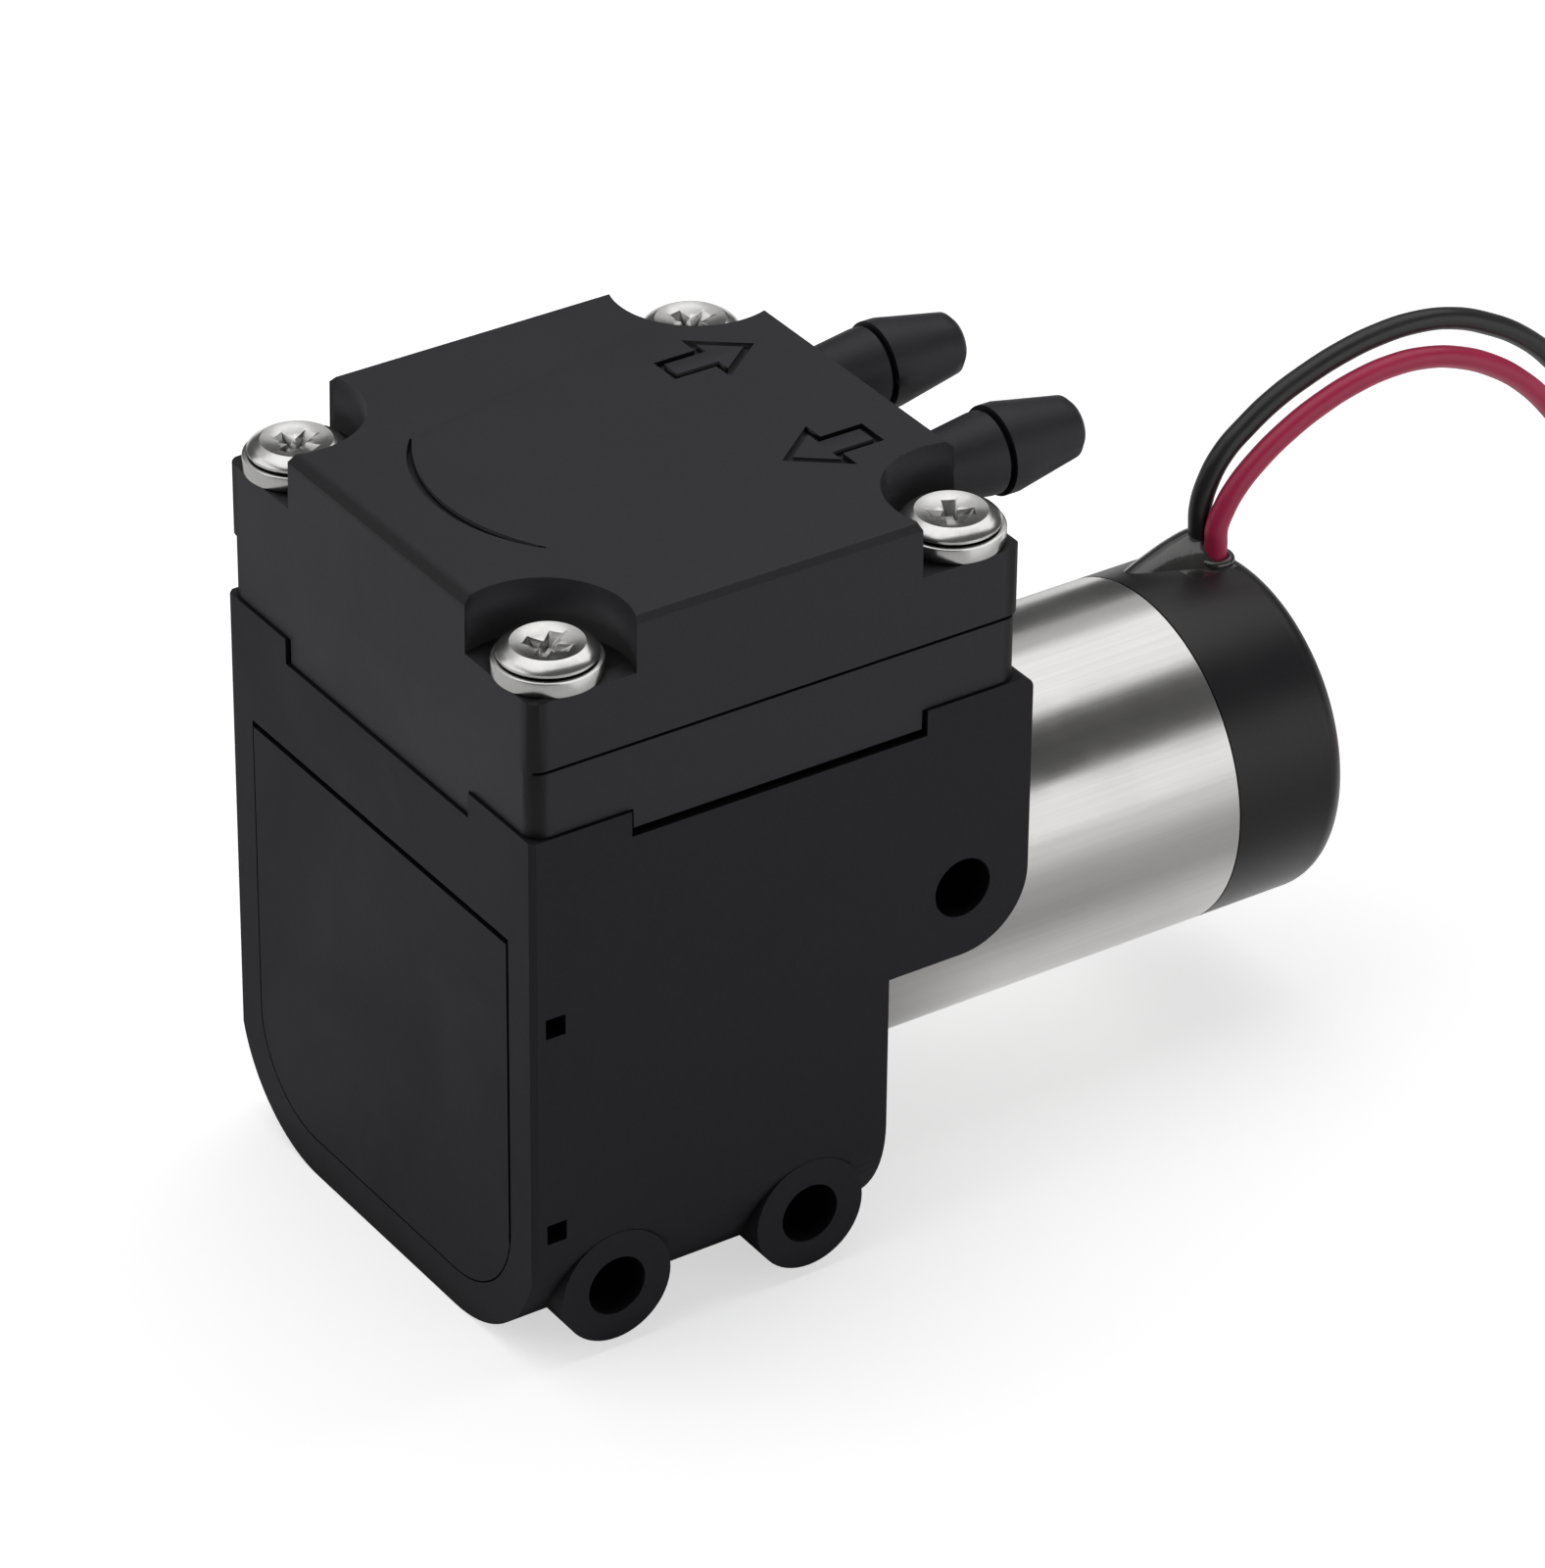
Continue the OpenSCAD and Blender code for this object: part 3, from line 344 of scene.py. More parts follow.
def moulded_plastic(
    name, colour, pit_and_edge_colour, roughness, grain_depth, grain_scale=4500.0, specular=0.35, dark_corners=False
):
    made, tree, shader, place = start_material(name)
    grain = place_group(tree, SPARK_GRAIN, {"Vector": place, "Scale": grain_scale})
    smudge = place_group(tree, SMUDGE, {"Vector": place, "Scale": 110.0})["Tone"]
    wear_and_sheen = place_group(
        tree, EDGE_WEAR_AND_SHEEN, {"Vector": place, "Radius": 0.15 * MM, "Gain": 1.6, "Scale": 700.0}
    )["Mask"]
    # Painted shade: the seam mask darkens narrow gaps and corners, and the hollow mask darkens the screw pockets,
    # where little light comes in.
    seam = place_group(tree, SEAM_SHADE, {"Distance": 0.5 * MM, "Gain": 1.3})["Mask"]
    hollow = place_group(tree, SEAM_SHADE, {"Distance": 4.5 * MM, "Gain": 1.7})["Mask"]
    if dark_corners:
        corners = math_node(tree, "MULTIPLY", head_edges(tree, place), HEAD_SHARE)
        hollow = math_node(tree, "MAXIMUM", hollow, corners)
    darker = tuple(c * DARK_TONE for c in colour[:3]) + (1,)
    body = mix_colour(tree, smudge, darker, colour)
    pitted = mix_colour(tree, math_node(tree, "MULTIPLY", grain["Pits"], PIT_SHARE), body, pit_and_edge_colour)
    # Corners take the lighter colour: partly wear, partly a painted highlight.
    edged = mix_colour(tree, math_node(tree, "MULTIPLY", wear_and_sheen, WEAR_AND_SHEEN_SHARE), pitted, pit_and_edge_colour)
    # Painted shade in the pockets; the head's darker corners and edge take the same dark colour.
    shaded = mix_colour(tree, hollow, edged, grey(0.002))
    rough = spread(tree, smudge, 0.0, 1.0, roughness - 0.05, roughness + 0.06)
    polished = math_node(tree, "SUBTRACT", rough, math_node(tree, "MULTIPLY", wear_and_sheen, WEAR_POLISH))
    feed(tree, shader, {
        # Painted shade, with some dust, in the seams.
        "Base Color": mix_colour(tree, seam, shaded, grey(0.001)),
        "Roughness": math_node(tree, "MAXIMUM", polished, math_node(tree, "MULTIPLY", seam, SEAM_ROUGHNESS)),
        "Normal": bumped(tree, grain["Height"], grain_depth),
        "Specular IOR Level": specular,
    })
    return made


print("the head's corners darken from", CORNER_FROM, "to", CORNER_FULL, "mm")

# %% [markdown]
# Black things are easily made too black: real black plastic reflects two to three parts in a hundred, and the
# shine does the rest. So the colours below are dark greys with a trace of blue, and what sets the body, the head
# and the rear cap apart is mostly how rough and how shiny they are.

# %% Plastic finishes
BODY_BLACK = (0.0178, 0.0166, 0.0225, 1)
# The head's black is painted lighter than the body's, for the stronger light on the upper part.
HEAD_BLACK = (0.0280, 0.0256, 0.0320, 1)
CAP_BLACK = (0.0165, 0.0155, 0.0180, 1)
finish = {
    "black_plastic": moulded_plastic("black_plastic", BODY_BLACK, grey(0.035), 0.55, 0.008 * MM, specular=0.22),
    "cap_plastic": moulded_plastic("cap_plastic", CAP_BLACK, grey(0.04), 0.32, 0.004 * MM, specular=0.33),
    "rod_plastic": moulded_plastic("rod_plastic", grey(0.045), grey(0.12), 0.55, 0.012 * MM, 3000.0),
    "rubber": moulded_plastic("rubber", grey(0.02), grey(0.04), 0.7, 0.008 * MM, 3500.0, 0.25),
}
head_black = moulded_plastic(
    "head_plastic", HEAD_BLACK, grey(0.05), 0.5, 0.008 * MM, specular=0.3, dark_corners=True
)
print("plastics:", sorted(finish), "and", head_black.name)

# %% [markdown]
# ## Metal
#
# A metal has no colour of its own under the shine: its base colour is the colour of its reflections. What tells
# a drawn can from a turned screw is the direction and depth of the fine lines, so the recipe takes a stretch for
# each axis. Lines along Y make the light on the can spread across them. Nickel plating is a little warm, old
# finger marks make it locally rougher, and painted shade darkens the recesses of the screws. Eight metals come from
# the one recipe, so their numbers stand in a table and a loop makes them.

# %% Metal finishes
LINE_SHARE = 0.5
DULL_TONE, BRIGHT_TONE = 0.86, 1.15
EVEN = (2500.0, 2500.0, 2500.0)
ALONG_Y = (5000.0, 70.0, 5000.0)
ACROSS_Y = (150.0, 6000.0, 150.0)
LAMINATED = (150.0, 3600.0, 150.0)
WOUND = (150.0, 150.0, 5200.0)
METALS = {  # colour, roughness, stretch of the lines, their depth in mm, painted recess shade
    "plated_steel": ((0.655, 0.645, 0.635, 1), 0.2, ALONG_Y, 0.0012, 0.0),
    "nickel_screw": ((0.72, 0.715, 0.7, 1), 0.22, EVEN, 0.008, 1.3),
    "bearing_steel": ((0.6, 0.6, 0.61, 1), 0.16, ACROSS_Y, 0.002, 0.0),
    "core_steel": ((0.3, 0.3, 0.31, 1), 0.45, LAMINATED, 0.03, 0.0),
    "brass": ((0.78, 0.6, 0.3, 1), 0.25, ACROSS_Y, 0.003, 0.0),
    "bronze": ((0.56, 0.38, 0.2, 1), 0.5, EVEN, 0.008, 0.0),
    "copper": ((0.72, 0.33, 0.19, 1), 0.3, WOUND, 0.02, 0.0),
    "tinned_wire": ((0.7, 0.7, 0.69, 1), 0.28, EVEN, 0.003, 0.0),
}


def metal(name, colour, roughness, stretch, depth, recess_shade):
    made, tree, shader, place = start_material(name)
    lines = place_group(tree, DRAWN_LINES, {"Vector": place, "Stretch": stretch})
    smudge = place_group(tree, SMUDGE, {"Vector": place, "Scale": 160.0})["Tone"]
    wear_and_sheen = place_group(
        tree, EDGE_WEAR_AND_SHEEN, {"Vector": place, "Radius": 0.12 * MM, "Gain": 2.0, "Scale": 1500.0}
    )["Mask"]
    # Painted shade: the screws' recesses are darkened where little light comes in.
    painted_recess_shade = place_group(tree, SEAM_SHADE, {"Distance": 1.1 * MM, "Gain": recess_shade})["Mask"]
    duller = tuple(c * DULL_TONE for c in colour[:3]) + (1,)
    bright = tuple(min(1, c * BRIGHT_TONE) for c in colour[:3]) + (1,)
    toned = mix_colour(tree, math_node(tree, "MULTIPLY", lines["Tone"], LINE_SHARE), colour, duller)
    # Corners are painted brighter: partly worn plating, partly a painted highlight.
    edged = mix_colour(tree, wear_and_sheen, toned, bright)
    feed(tree, shader, {
        "Base Color": mix_colour(tree, painted_recess_shade, edged, grey(0.03)),
        "Roughness": spread(tree, smudge, 0.0, 1.0, roughness * 0.85, roughness * 1.3),
        "Normal": bumped(tree, lines["Height"], depth * MM),
        "Metallic": 1.0,
    })
    return made


for metal_name, numbers in METALS.items():
    finish[metal_name] = metal(metal_name, *numbers)
print("metals:", sorted(METALS))

# %% [markdown]
# ## Magnets, brushes, resin and wire
#
# Ferrite and carbon are pressed powders: matt, with fine specks. The resin round the wires is glossy and barely
# uneven, so it gets a clear coat over a smooth base and a slow bump. Wire insulation is smooth plastic with slow,
# faint waves from the extruder. Its soft sheen comes from a middling roughness under a thin coat.

# %% Powder, resin and insulation
SPECK_SHARE = 0.4
FINE_SHARE = 0.06
COAT_ROUGHNESS = 0.08


def pressed_powder(name, colour, specks, roughness):
    made, tree, shader, place = start_material(name)
    grain = place_group(tree, SPARK_GRAIN, {"Vector": place, "Scale": 5200.0})
    smudge = place_group(tree, SMUDGE, {"Vector": place, "Scale": 200.0})["Tone"]
    speckled = math_node(tree, "MULTIPLY", grain["Pits"], SPECK_SHARE)
    feed(tree, shader, {
        "Base Color": mix_colour(tree, speckled, colour, specks),
        "Roughness": spread(tree, smudge, 0.0, 1.0, roughness - 0.08, roughness + 0.08),
        "Normal": bumped(tree, grain["Height"], 0.01 * MM, strength=0.7),
    })
    return made


def glossy_skin(name, colour, second, roughness, coat, bump_scale, bump_depth):
    made, tree, shader, place = start_material(name)
    slow = place_group(tree, SMUDGE, {"Vector": place, "Scale": bump_scale})["Tone"]
    fine = place_group(tree, SPARK_GRAIN, {"Vector": place, "Scale": 3000.0})
    height = math_node(tree, "ADD", slow, math_node(tree, "MULTIPLY", fine["Height"], FINE_SHARE))
    feed(tree, shader, {
        "Base Color": mix_colour(tree, slow, colour, second),
        "Roughness": spread(tree, slow, 0.0, 1.0, roughness, roughness + 0.12),
        "Normal": bumped(tree, height, bump_depth),
        "Coat Weight": coat,
        "Coat Roughness": COAT_ROUGHNESS,
    })
    return made


RED = (0.48, 0.014, 0.075, 1)
RED_LIGHT = (0.56, 0.02, 0.095, 1)
finish["ferrite"] = pressed_powder("ferrite", grey(0.06), grey(0.12), 0.75)
finish["carbon"] = pressed_powder("carbon", grey(0.03), grey(0.08), 0.6)
finish["sealant"] = glossy_skin(
    "sealant", (0.024, 0.024, 0.023, 1), (0.04, 0.04, 0.038, 1), 0.2, 1.0, 500.0, 0.08 * MM
)
finish["black_insulation"] = glossy_skin(
    "black_insulation", grey(0.012), grey(0.018), 0.4, 0.15, 260.0, 0.01 * MM
)
finish["red_insulation"] = glossy_skin("red_insulation", RED, RED_LIGHT, 0.42, 0.15, 260.0, 0.01 * MM)
slots = sorted(m["slot"] for m in frame["record"]["materials"])
print("slots without a finish:", [s for s in slots if s not in finish])

# %% [markdown]
# ## The leads
#
# A lead is a length of thin wire: 150 mm on such a motor, of which the photograph shows only the first part. It
# rises from the resin, arches over behind the motor under its own weight, meets the table and is wound into a
# small coil just outside the picture. The route's points are the ones of the solid model, as (y, z) in mm, because
# each lead stays in one upright plane up to its coil. A loop adds the turns of the coil.

# %% Routes of the leads
LEAD_D = 1.3
LEAD_R = LEAD_D / 2
BLACK_X = -2.2
RED_X = -0.9
ROOT_Z = 24.3
BLACK_ROUTE = [
    (39.6, 26), (39.6, 27.4), (40, 28.8), (41, 30.4), (42.6, 31.7), (44.4, 32.8), (46.6, 33.7),
    (49, 34.4), (51.6, 34.8), (54.2, 34.8), (56.8, 34.3), (59.4, 33.2), (62, 31.6), (64.4, 29.4),
    (66.6, 26.6), (68.5, 23.4), (70, 20), (71.1, 16.5), (71.9, 13), (72.6, 9.6), (73.4, 6.4),
    (74.7, 3.5), (76.8, 1.4), (79.6, 0.7),
]
RED_ROUTE = [
    (39.8, 25.7), (39.8, 26.6), (40.2, 27.6), (41, 28.8), (42.4, 30.1), (44.4, 31.4), (46.6, 32.4),
    (49, 33.1), (51.6, 33.4), (54, 33.2), (56.4, 32.5), (58.8, 31.3), (61.1, 29.6), (63.3, 27.3),
    (65.3, 24.5), (67, 21.4), (68.4, 18.2), (69.5, 14.9), (70.4, 11.6), (71.3, 8.4), (72.5, 5.4),
    (74.2, 2.9), (76.6, 1.3), (79.6, 0.7),
]
COIL_R = 7.2
COIL_Y = 84
COIL_TURNS = 1.75
COIL_STEPS = 16
CLIMB_TURNS = 0.3
CLIMB = 0.75


def coil_points(side):
    """Turns of a coil that winds away to one side and climbs onto itself at the end."""
    points = []
    for k in range(round(COIL_TURNS * COIL_STEPS) + 1):
        turn = k / COIL_STEPS
        angle = 2 * math.pi * turn
        climbed = max(0, turn - COIL_TURNS + CLIMB_TURNS) / CLIMB_TURNS
        rise = LEAD_R + LEAD_D * turn + CLIMB * climbed ** 2
        points.append((side * COIL_R * (math.cos(angle) - 1), COIL_Y + COIL_R * math.sin(angle), rise))
    return points


def lead_points(route, x, side):
    start = [(0, route[0][0], ROOT_Z)] + [(0, y, z) for y, z in route]
    return [Vector((x + px, y, z)) * MM for px, y, z in start + coil_points(side)]


black_points = lead_points(BLACK_ROUTE, BLACK_X, 1)
red_points = lead_points(RED_ROUTE, RED_X, -1)
print("points per lead:", len(black_points), len(red_points))

# %% [markdown]
# A wire could be a mesh tube, but a Bezier curve with a round bevel is the natural way to make it: the points give
# the route, automatic handles keep it smooth, and the bevel gives it its thickness. Each curve takes its finish,
# and each finished piece is then put on its body, and the solids that it replaces are hidden.

# %% Wires as curves
WIRE_STEPS = 6
WIRE_ROUNDNESS = 5


def wire(name, strands, radius, material):
    """A curve object with one spline for each list of points."""
    data = bpy.data.curves.new(name, "CURVE")
    data.dimensions = "3D"
    data.resolution_u = WIRE_STEPS
    data.bevel_depth = radius
    data.bevel_resolution = WIRE_ROUNDNESS
    data.use_fill_caps = True
    for points in strands:
        spline = data.splines.new("BEZIER")
        spline.bezier_points.add(len(points) - 1)
        for target, point in zip(spline.bezier_points, points):
            target.co = point
            target.handle_left_type = "AUTO"
            target.handle_right_type = "AUTO"
    made = bpy.data.objects.new(name, data)
    bpy.context.scene.collection.objects.link(made)
    data.materials.append(material)
    return made


def dress(piece, slot_name, body, *replaced):
    """Puts a finished piece on its body and hides the solids that it stands for; the name of its finish is not
    used.
    """
    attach(piece, body)
    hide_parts(*replaced)


black_lead = wire("black_lead_wire", [black_points], LEAD_R * MM, finish["black_insulation"])
red_lead = wire("red_lead_wire", [red_points], LEAD_R * MM, finish["red_insulation"])
dress(black_lead, "black_insulation", "pump", "black_lead", "black_lead_coil")
dress(red_lead, "red_insulation", "pump", "red_lead", "red_lead_coil")
print("wires:", black_lead.name, red_lead.name)

# %% [markdown]
# The stripped ends are seven tinned strands with a slight twist: one in the middle and six round it. Seven
# splines in one curve make the whole end, and a loop works out the helix. Both leads are free cords.

# %% Bare ends of the leads
STRANDS = 7
STRAND_R = 0.115
STRAND_STEPS = 10
BARE_LEN = 5.0
IN_SLEEVE = 0.4
FLARE = 0.25
TWIST = math.radians(150)


def strand_points(tip_of_lead, direction):
    strands = []
    for strand in range(STRANDS):
        ring = 0 if strand == 0 else 2 * STRAND_R
        points = []
        for k in range(STRAND_STEPS + 1):
            share = k / STRAND_STEPS
            angle = strand * math.pi / 3 + TWIST * share
            across = Vector((0, math.cos(angle), math.sin(angle))) * ring * (1 + FLARE * share ** 3)
            along = Vector((direction * (BARE_LEN * share - IN_SLEEVE), 0, 0))
            points.append(tip_of_lead + (along + across) * MM)
        strands.append(points)
    return strands


black_end = wire("black_lead_strands", strand_points(black_points[-1], 1), STRAND_R * MM, finish["tinned_wire"])
red_end = wire("red_lead_strands", strand_points(red_points[-1], -1), STRAND_R * MM, finish["tinned_wire"])
dress(black_end, "tinned_wire", "pump", "black_lead_end")
dress(red_end, "tinned_wire", "pump", "red_lead_end")
print("strands:", len(black_end.data.splines) + len(red_end.data.splines))

# %% [markdown]
# ## Softened copies of the mouldings
#
# A solid model has knife edges, and no real edge is one: the small radius on it catches a thin line of light.
# A node's mesh comes as loose triangles, so a copy is merged first, its flat faces are joined back into whole
# faces, and then every sharp edge gets a small round bevel. A Weighted Normal modifier keeps the large faces
# flat in the shading, so that only the new rounds turn the light. The copy stands for the node from then on.

# %% Helpers for softened copies
SHARP = math.radians(28)
FLAT = math.radians(0.4)
SAME_PLACE = 0.0005 * MM
BEVEL_SEGMENTS = 2
FACE_WEIGHT = 90


def merge(work):
    bmesh.ops.remove_doubles(work, verts=work.verts, dist=SAME_PLACE)


def join_flats(work):
    bmesh.ops.dissolve_limit(work, angle_limit=FLAT, verts=work.verts, edges=work.edges)


def merged_copy(node):
    """A bmesh of a node with shared corners and whole flat faces."""
    work = bmesh.new()
    work.from_mesh(nodes[node].data)
    merge(work)
    join_flats(work)
    return work


def soften(work, radius):
    """Rounds every sharp edge of a closed shape; the radius is in mm."""
    sharp = [e for e in work.edges if len(e.link_faces) == 2 and e.calc_face_angle(0) > SHARP]
    bmesh.ops.bevel(
        work, geom=sharp, offset=radius * MM, offset_type="OFFSET", affect="EDGES", segments=BEVEL_SEGMENTS,
        profile=0.5, material=-1, clamp_overlap=True,
    )
    merge(work)
    return work


def to_object(work, name):
    mesh = bpy.data.meshes.new(name)
    work.to_mesh(mesh)
    work.free()
    made = bpy.data.objects.new(name, mesh)
    bpy.context.scene.collection.objects.link(made)
    return made


def finished(work, name, material, smooth_angle=40):
    """Makes an object of a bmesh, with smooth faces, sharp edges kept and the flats shaded flat."""
    for face in work.faces:
        face.smooth = True
    made = to_object(work, name)
    made.data.set_sharp_from_angle(angle=math.radians(smooth_angle))
    made.data.materials.append(material)
    even = made.modifiers.new("flat_faces", "WEIGHTED_NORMAL")
    even.keep_sharp = True
    even.weight = FACE_WEIGHT
    return made


print("edges sharper than", round(math.degrees(SHARP)), "degrees will be rounded")

# %% [markdown]
# Gaps in the solid model are all alike. On the real pump the front tab sits tight, the right tab leaves a wide
# black line, and the front panel stands off most along its upper and right edges. Moving a few corners of the
# copies by a tenth or two of a millimetre shows that. Each move is a test that picks corners out, and a step.

# %% The five plain mouldings
PANEL_TOP = 25.9
PANEL_SIDE = 12.75
PANEL_TOP_STEP = -0.14
PANEL_SIDE_STEP = -0.12
TAB_FOOT = 31.7
TAB_INNER = 13.4
FRONT_TAB_STEP = -0.17
RIGHT_TAB_STEP = 0.16
NEAR = 0.06
PANEL_SHIFTS = [
    (lambda p: p.z > PANEL_TOP - NEAR, (0, 0, PANEL_TOP_STEP)),
    (lambda p: p.x > PANEL_SIDE - NEAR, (PANEL_SIDE_STEP, 0, 0)),
]
TAB_SHIFTS = [
    (lambda p: abs(p.z - TAB_FOOT) < NEAR and p.y < -TAB_INNER, (0, 0, FRONT_TAB_STEP)),
    (lambda p: abs(p.z - TAB_FOOT) < NEAR and p.x > TAB_INNER, (0, 0, RIGHT_TAB_STEP)),
]


def softened_node(node, name, slot_name, radius, material=None, shifts=()):
    work = merged_copy(node)
    before = len(work.faces)
    for is_meant, step in shifts:
        picked = [v for v in work.verts if is_meant(v.co / MM)]
        bmesh.ops.translate(work, verts=picked, vec=Vector(step) * MM)
        print(name, "corners moved:", len(picked))
    made = finished(soften(work, radius), name, material or finish[slot_name])
    dress(made, slot_name, "pump", node)
    print(name, "faces:", before, "->", len(made.data.polygons))


softened_node("housing", "housing_moulding", "black_plastic", 0.16)
softened_node("front_cover", "front_cover_moulding", "black_plastic", 0.12, shifts=PANEL_SHIFTS)
softened_node("valve_plate", "valve_plate_moulding", "black_plastic", 0.12, head_black, TAB_SHIFTS)
softened_node("motor_rear_cap", "rear_cap_moulding", "cap_plastic", 0.12)
softened_node("motor_can", "motor_can_drawn", "plated_steel", 0.12)

# %% [markdown]
# ## The head cover and its marks
#
# Two arrows beside the ports show which way the air goes. They are sunk into the mould, so they are cut and not
# painted: a cutting shape is made for each mark, and Boolean modifiers take the shapes away from the merged copy
# of the cover. The helpers below are shared by the cover and the screws: one spins a profile, two draw a flat face
# and pull it up, and one runs the Booleans.

# %% Helpers for cutting
def turned(profile, steps=64):
    """Spins a profile of (radius, height) points in mm once around the Z axis."""
    work = bmesh.new()
    points = [work.verts.new((r * MM, 0, z * MM)) for r, z in profile]
    edges = [work.edges.new(pair) for pair in zip(points, points[1:])]
    bmesh.ops.spin(
        work, geom=points + edges, cent=(0, 0, 0), axis=(0, 0, 1), angle=2 * math.pi, steps=steps, use_merge=True
    )
    merge(work)
    bmesh.ops.recalc_face_normals(work, faces=work.faces)
    return work


def flat_face(work, outline, height):
    """A face with its outline in mm, at a height in metres."""
    return work.faces.new([work.verts.new((x * MM, y * MM, height)) for x, y in outline])


def pull(work, faces, height):
    """Extrudes flat faces along Z by a height in mm and gives the new corners."""
    grown = bmesh.ops.extrude_face_region(work, geom=faces)["geom"]
    moved = [v for v in grown if isinstance(v, bmesh.types.BMVert)]
    bmesh.ops.translate(work, verts=moved, vec=(0, 0, height * MM))
    return moved


def carve(work, cutters, name, fillers=()):
    """Adds the fillers to a bmesh, takes the cutters away and gives the result back as a bmesh."""
    body = to_object(work, name)
    steps = [(filler, "UNION") for filler in fillers] + [(cutter, "DIFFERENCE") for cutter in cutters]
    tools = []
    for number, (tool, operation) in enumerate(steps):
        tools.append(to_object(tool, f"{name}_tool_{number}"))
        step = body.modifiers.new(f"step_{number}", "BOOLEAN")
        step.object = tools[-1]
        step.operation = operation
        step.solver = "EXACT"
    bpy.context.view_layer.update()
    result = body.evaluated_get(bpy.context.evaluated_depsgraph_get()).to_mesh()
    carved = bmesh.new()
    carved.from_mesh(result)
    for used in [body, *tools]:
        bpy.data.objects.remove(used)
    return carved


cover_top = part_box("head_cover")[1].z
print("the marks are cut into the cover's top at", round(cover_top / MM, 1), "mm")

# %% [markdown]
# An outline that follows an arrow at a constant width is quickly made by insetting a flat face: the ring of new
# faces is the stroke, and the face in the middle is deleted. A face that was just made has no normal yet, and the
# inset needs one, so it is worked out first.

# %% A cutter for the flow arrows
ARROW_LEN = 5.7
ARROW_HEAD = 3.1
ARROW_WIDE = 4.8
ARROW_SHAFT = 2.1
STROKE = 0.42
MARK_DEPTH = 0.3
ABOVE = 0.5
MARK_FLOOR = cover_top - MARK_DEPTH * MM
OUTLET_ARROW = (-5.75, 9.2)
INLET_ARROW = (5.6, 9.1)


def arrow_cutter(x, y, turn):
    """The outline of an arrow along Y, as a solid that reaches just above the cover's top."""
    head, half, shaft = ARROW_LEN / 2 - ARROW_HEAD, ARROW_WIDE / 2, ARROW_SHAFT / 2
    outline = [
        (0, ARROW_LEN / 2), (-half, head), (-shaft, head), (-shaft, -ARROW_LEN / 2),
        (shaft, -ARROW_LEN / 2), (shaft, head), (half, head),
    ]
    work = bmesh.new()
    flat = flat_face(work, [(x + px * turn, y + py * turn) for px, py in outline], MARK_FLOOR)
    flat.normal_update()
    bmesh.ops.inset_region(work, faces=[flat], thickness=STROKE * MM, use_boundary=True, use_even_offset=True)
    bmesh.ops.delete(work, geom=[flat], context="FACES")
    pull(work, work.faces[:], MARK_DEPTH + ABOVE)
    bmesh.ops.recalc_face_normals(work, faces=work.faces)
    return work


cuts = [arrow_cutter(*OUTLET_ARROW, 1), arrow_cutter(*INLET_ARROW, -1)]
print("faces of the arrow cutters:", [len(cut.faces) for cut in cuts])

# %% [markdown]
# The round groove of the solid model shows on the real pump only as a dark crescent near the front corner. So the
# groove is filled by a spun ring, and a crescent is cut instead. Three thin blocks cut the dark joint above the
# valve plate on the two sides and the back.

# %% Cutters for the crescent and the joint
RING_R = 10.7
RING_FILL = 0.35
RING_DEEP = 1
ARC_R = 11.0
ARC_FROM = -128
ARC_TO = -53
ARC_WIDE = 0.5
ARC_STEPS = 40
COVER_HALF = 15.05
OUTSIDE = 16
JOINT_Z = 36.8
JOINT_H = 0.24
JOINT_BELOW = 0.06
JOINT_DEPTH = 0.45


def ring_filler():
    """Fills the shallow round groove up to the cover's top."""
    top, low = cover_top / MM, cover_top / MM - RING_DEEP
    inner, outer = RING_R - RING_FILL, RING_R + RING_FILL
    return turned([(inner, low), (outer, low), (outer, top), (inner, top), (inner, low)], 128)


def arc_cutter():
    """A crescent that is widest in the middle and runs out to points."""
    outer, inner = [], []
    for k in range(ARC_STEPS + 1):
        angle = math.radians(ARC_FROM + (ARC_TO - ARC_FROM) * k / ARC_STEPS)
        half = ARC_WIDE / 2 * math.sqrt(math.sin(math.pi * (k + 0.5) / (ARC_STEPS + 1)))
        outer.append(((ARC_R + half) * math.cos(angle), (ARC_R + half) * math.sin(angle)))
        inner.append(((ARC_R - half) * math.cos(angle), (ARC_R - half) * math.sin(angle)))
    work = bmesh.new()
    pull(work, [flat_face(work, outer + inner[::-1], MARK_FLOOR)], MARK_DEPTH + ABOVE)
    bmesh.ops.recalc_face_normals(work, faces=work.faces)
    return work


def joint_cutter(low_x, high_x, low_y, high_y):
    """A flat block at the joint of cover and valve plate."""
    size = Vector((high_x - low_x, high_y - low_y, JOINT_H + JOINT_BELOW)) * MM
    middle = Vector(((low_x + high_x) / 2, (low_y + high_y) / 2, JOINT_Z + (JOINT_H - JOINT_BELOW) / 2)) * MM
    work = bmesh.new()
    bmesh.ops.create_cube(work, size=1, matrix=Matrix.Translation(middle) @ Matrix.Diagonal((*size, 1)))
    return work


joint_in = COVER_HALF - JOINT_DEPTH
cuts += [
    arc_cutter(), joint_cutter(joint_in, OUTSIDE, -OUTSIDE, OUTSIDE),
    joint_cutter(-OUTSIDE, -joint_in, -OUTSIDE, OUTSIDE), joint_cutter(-OUTSIDE, OUTSIDE, joint_in, OUTSIDE),
]
print("cutters for the cover:", len(cuts))

# %% [markdown]
# The Booleans leave flat faces cut into strips, which would spoil the bevel, so the flats are joined once more
# before the edges are softened.

# %% Carve the head cover
cover_work = carve(merged_copy("head_cover"), cuts, "cover_body", [ring_filler()])
join_flats(cover_work)
cover = finished(soften(cover_work, 0.14), "head_cover_moulding", head_black)
dress(cover, "black_plastic", "pump", "head_cover")
print("head cover faces:", len(cover.data.polygons))

# %% [markdown]
# ## Head screws
#
# The screws are turned parts, so each is one profile spun about its axis: shank, a narrow foot, a straight rim, a
# low crown and a shallow dish where the punch went in. The narrow foot leaves a dark line between the head and its
# washer, as on the real pump.

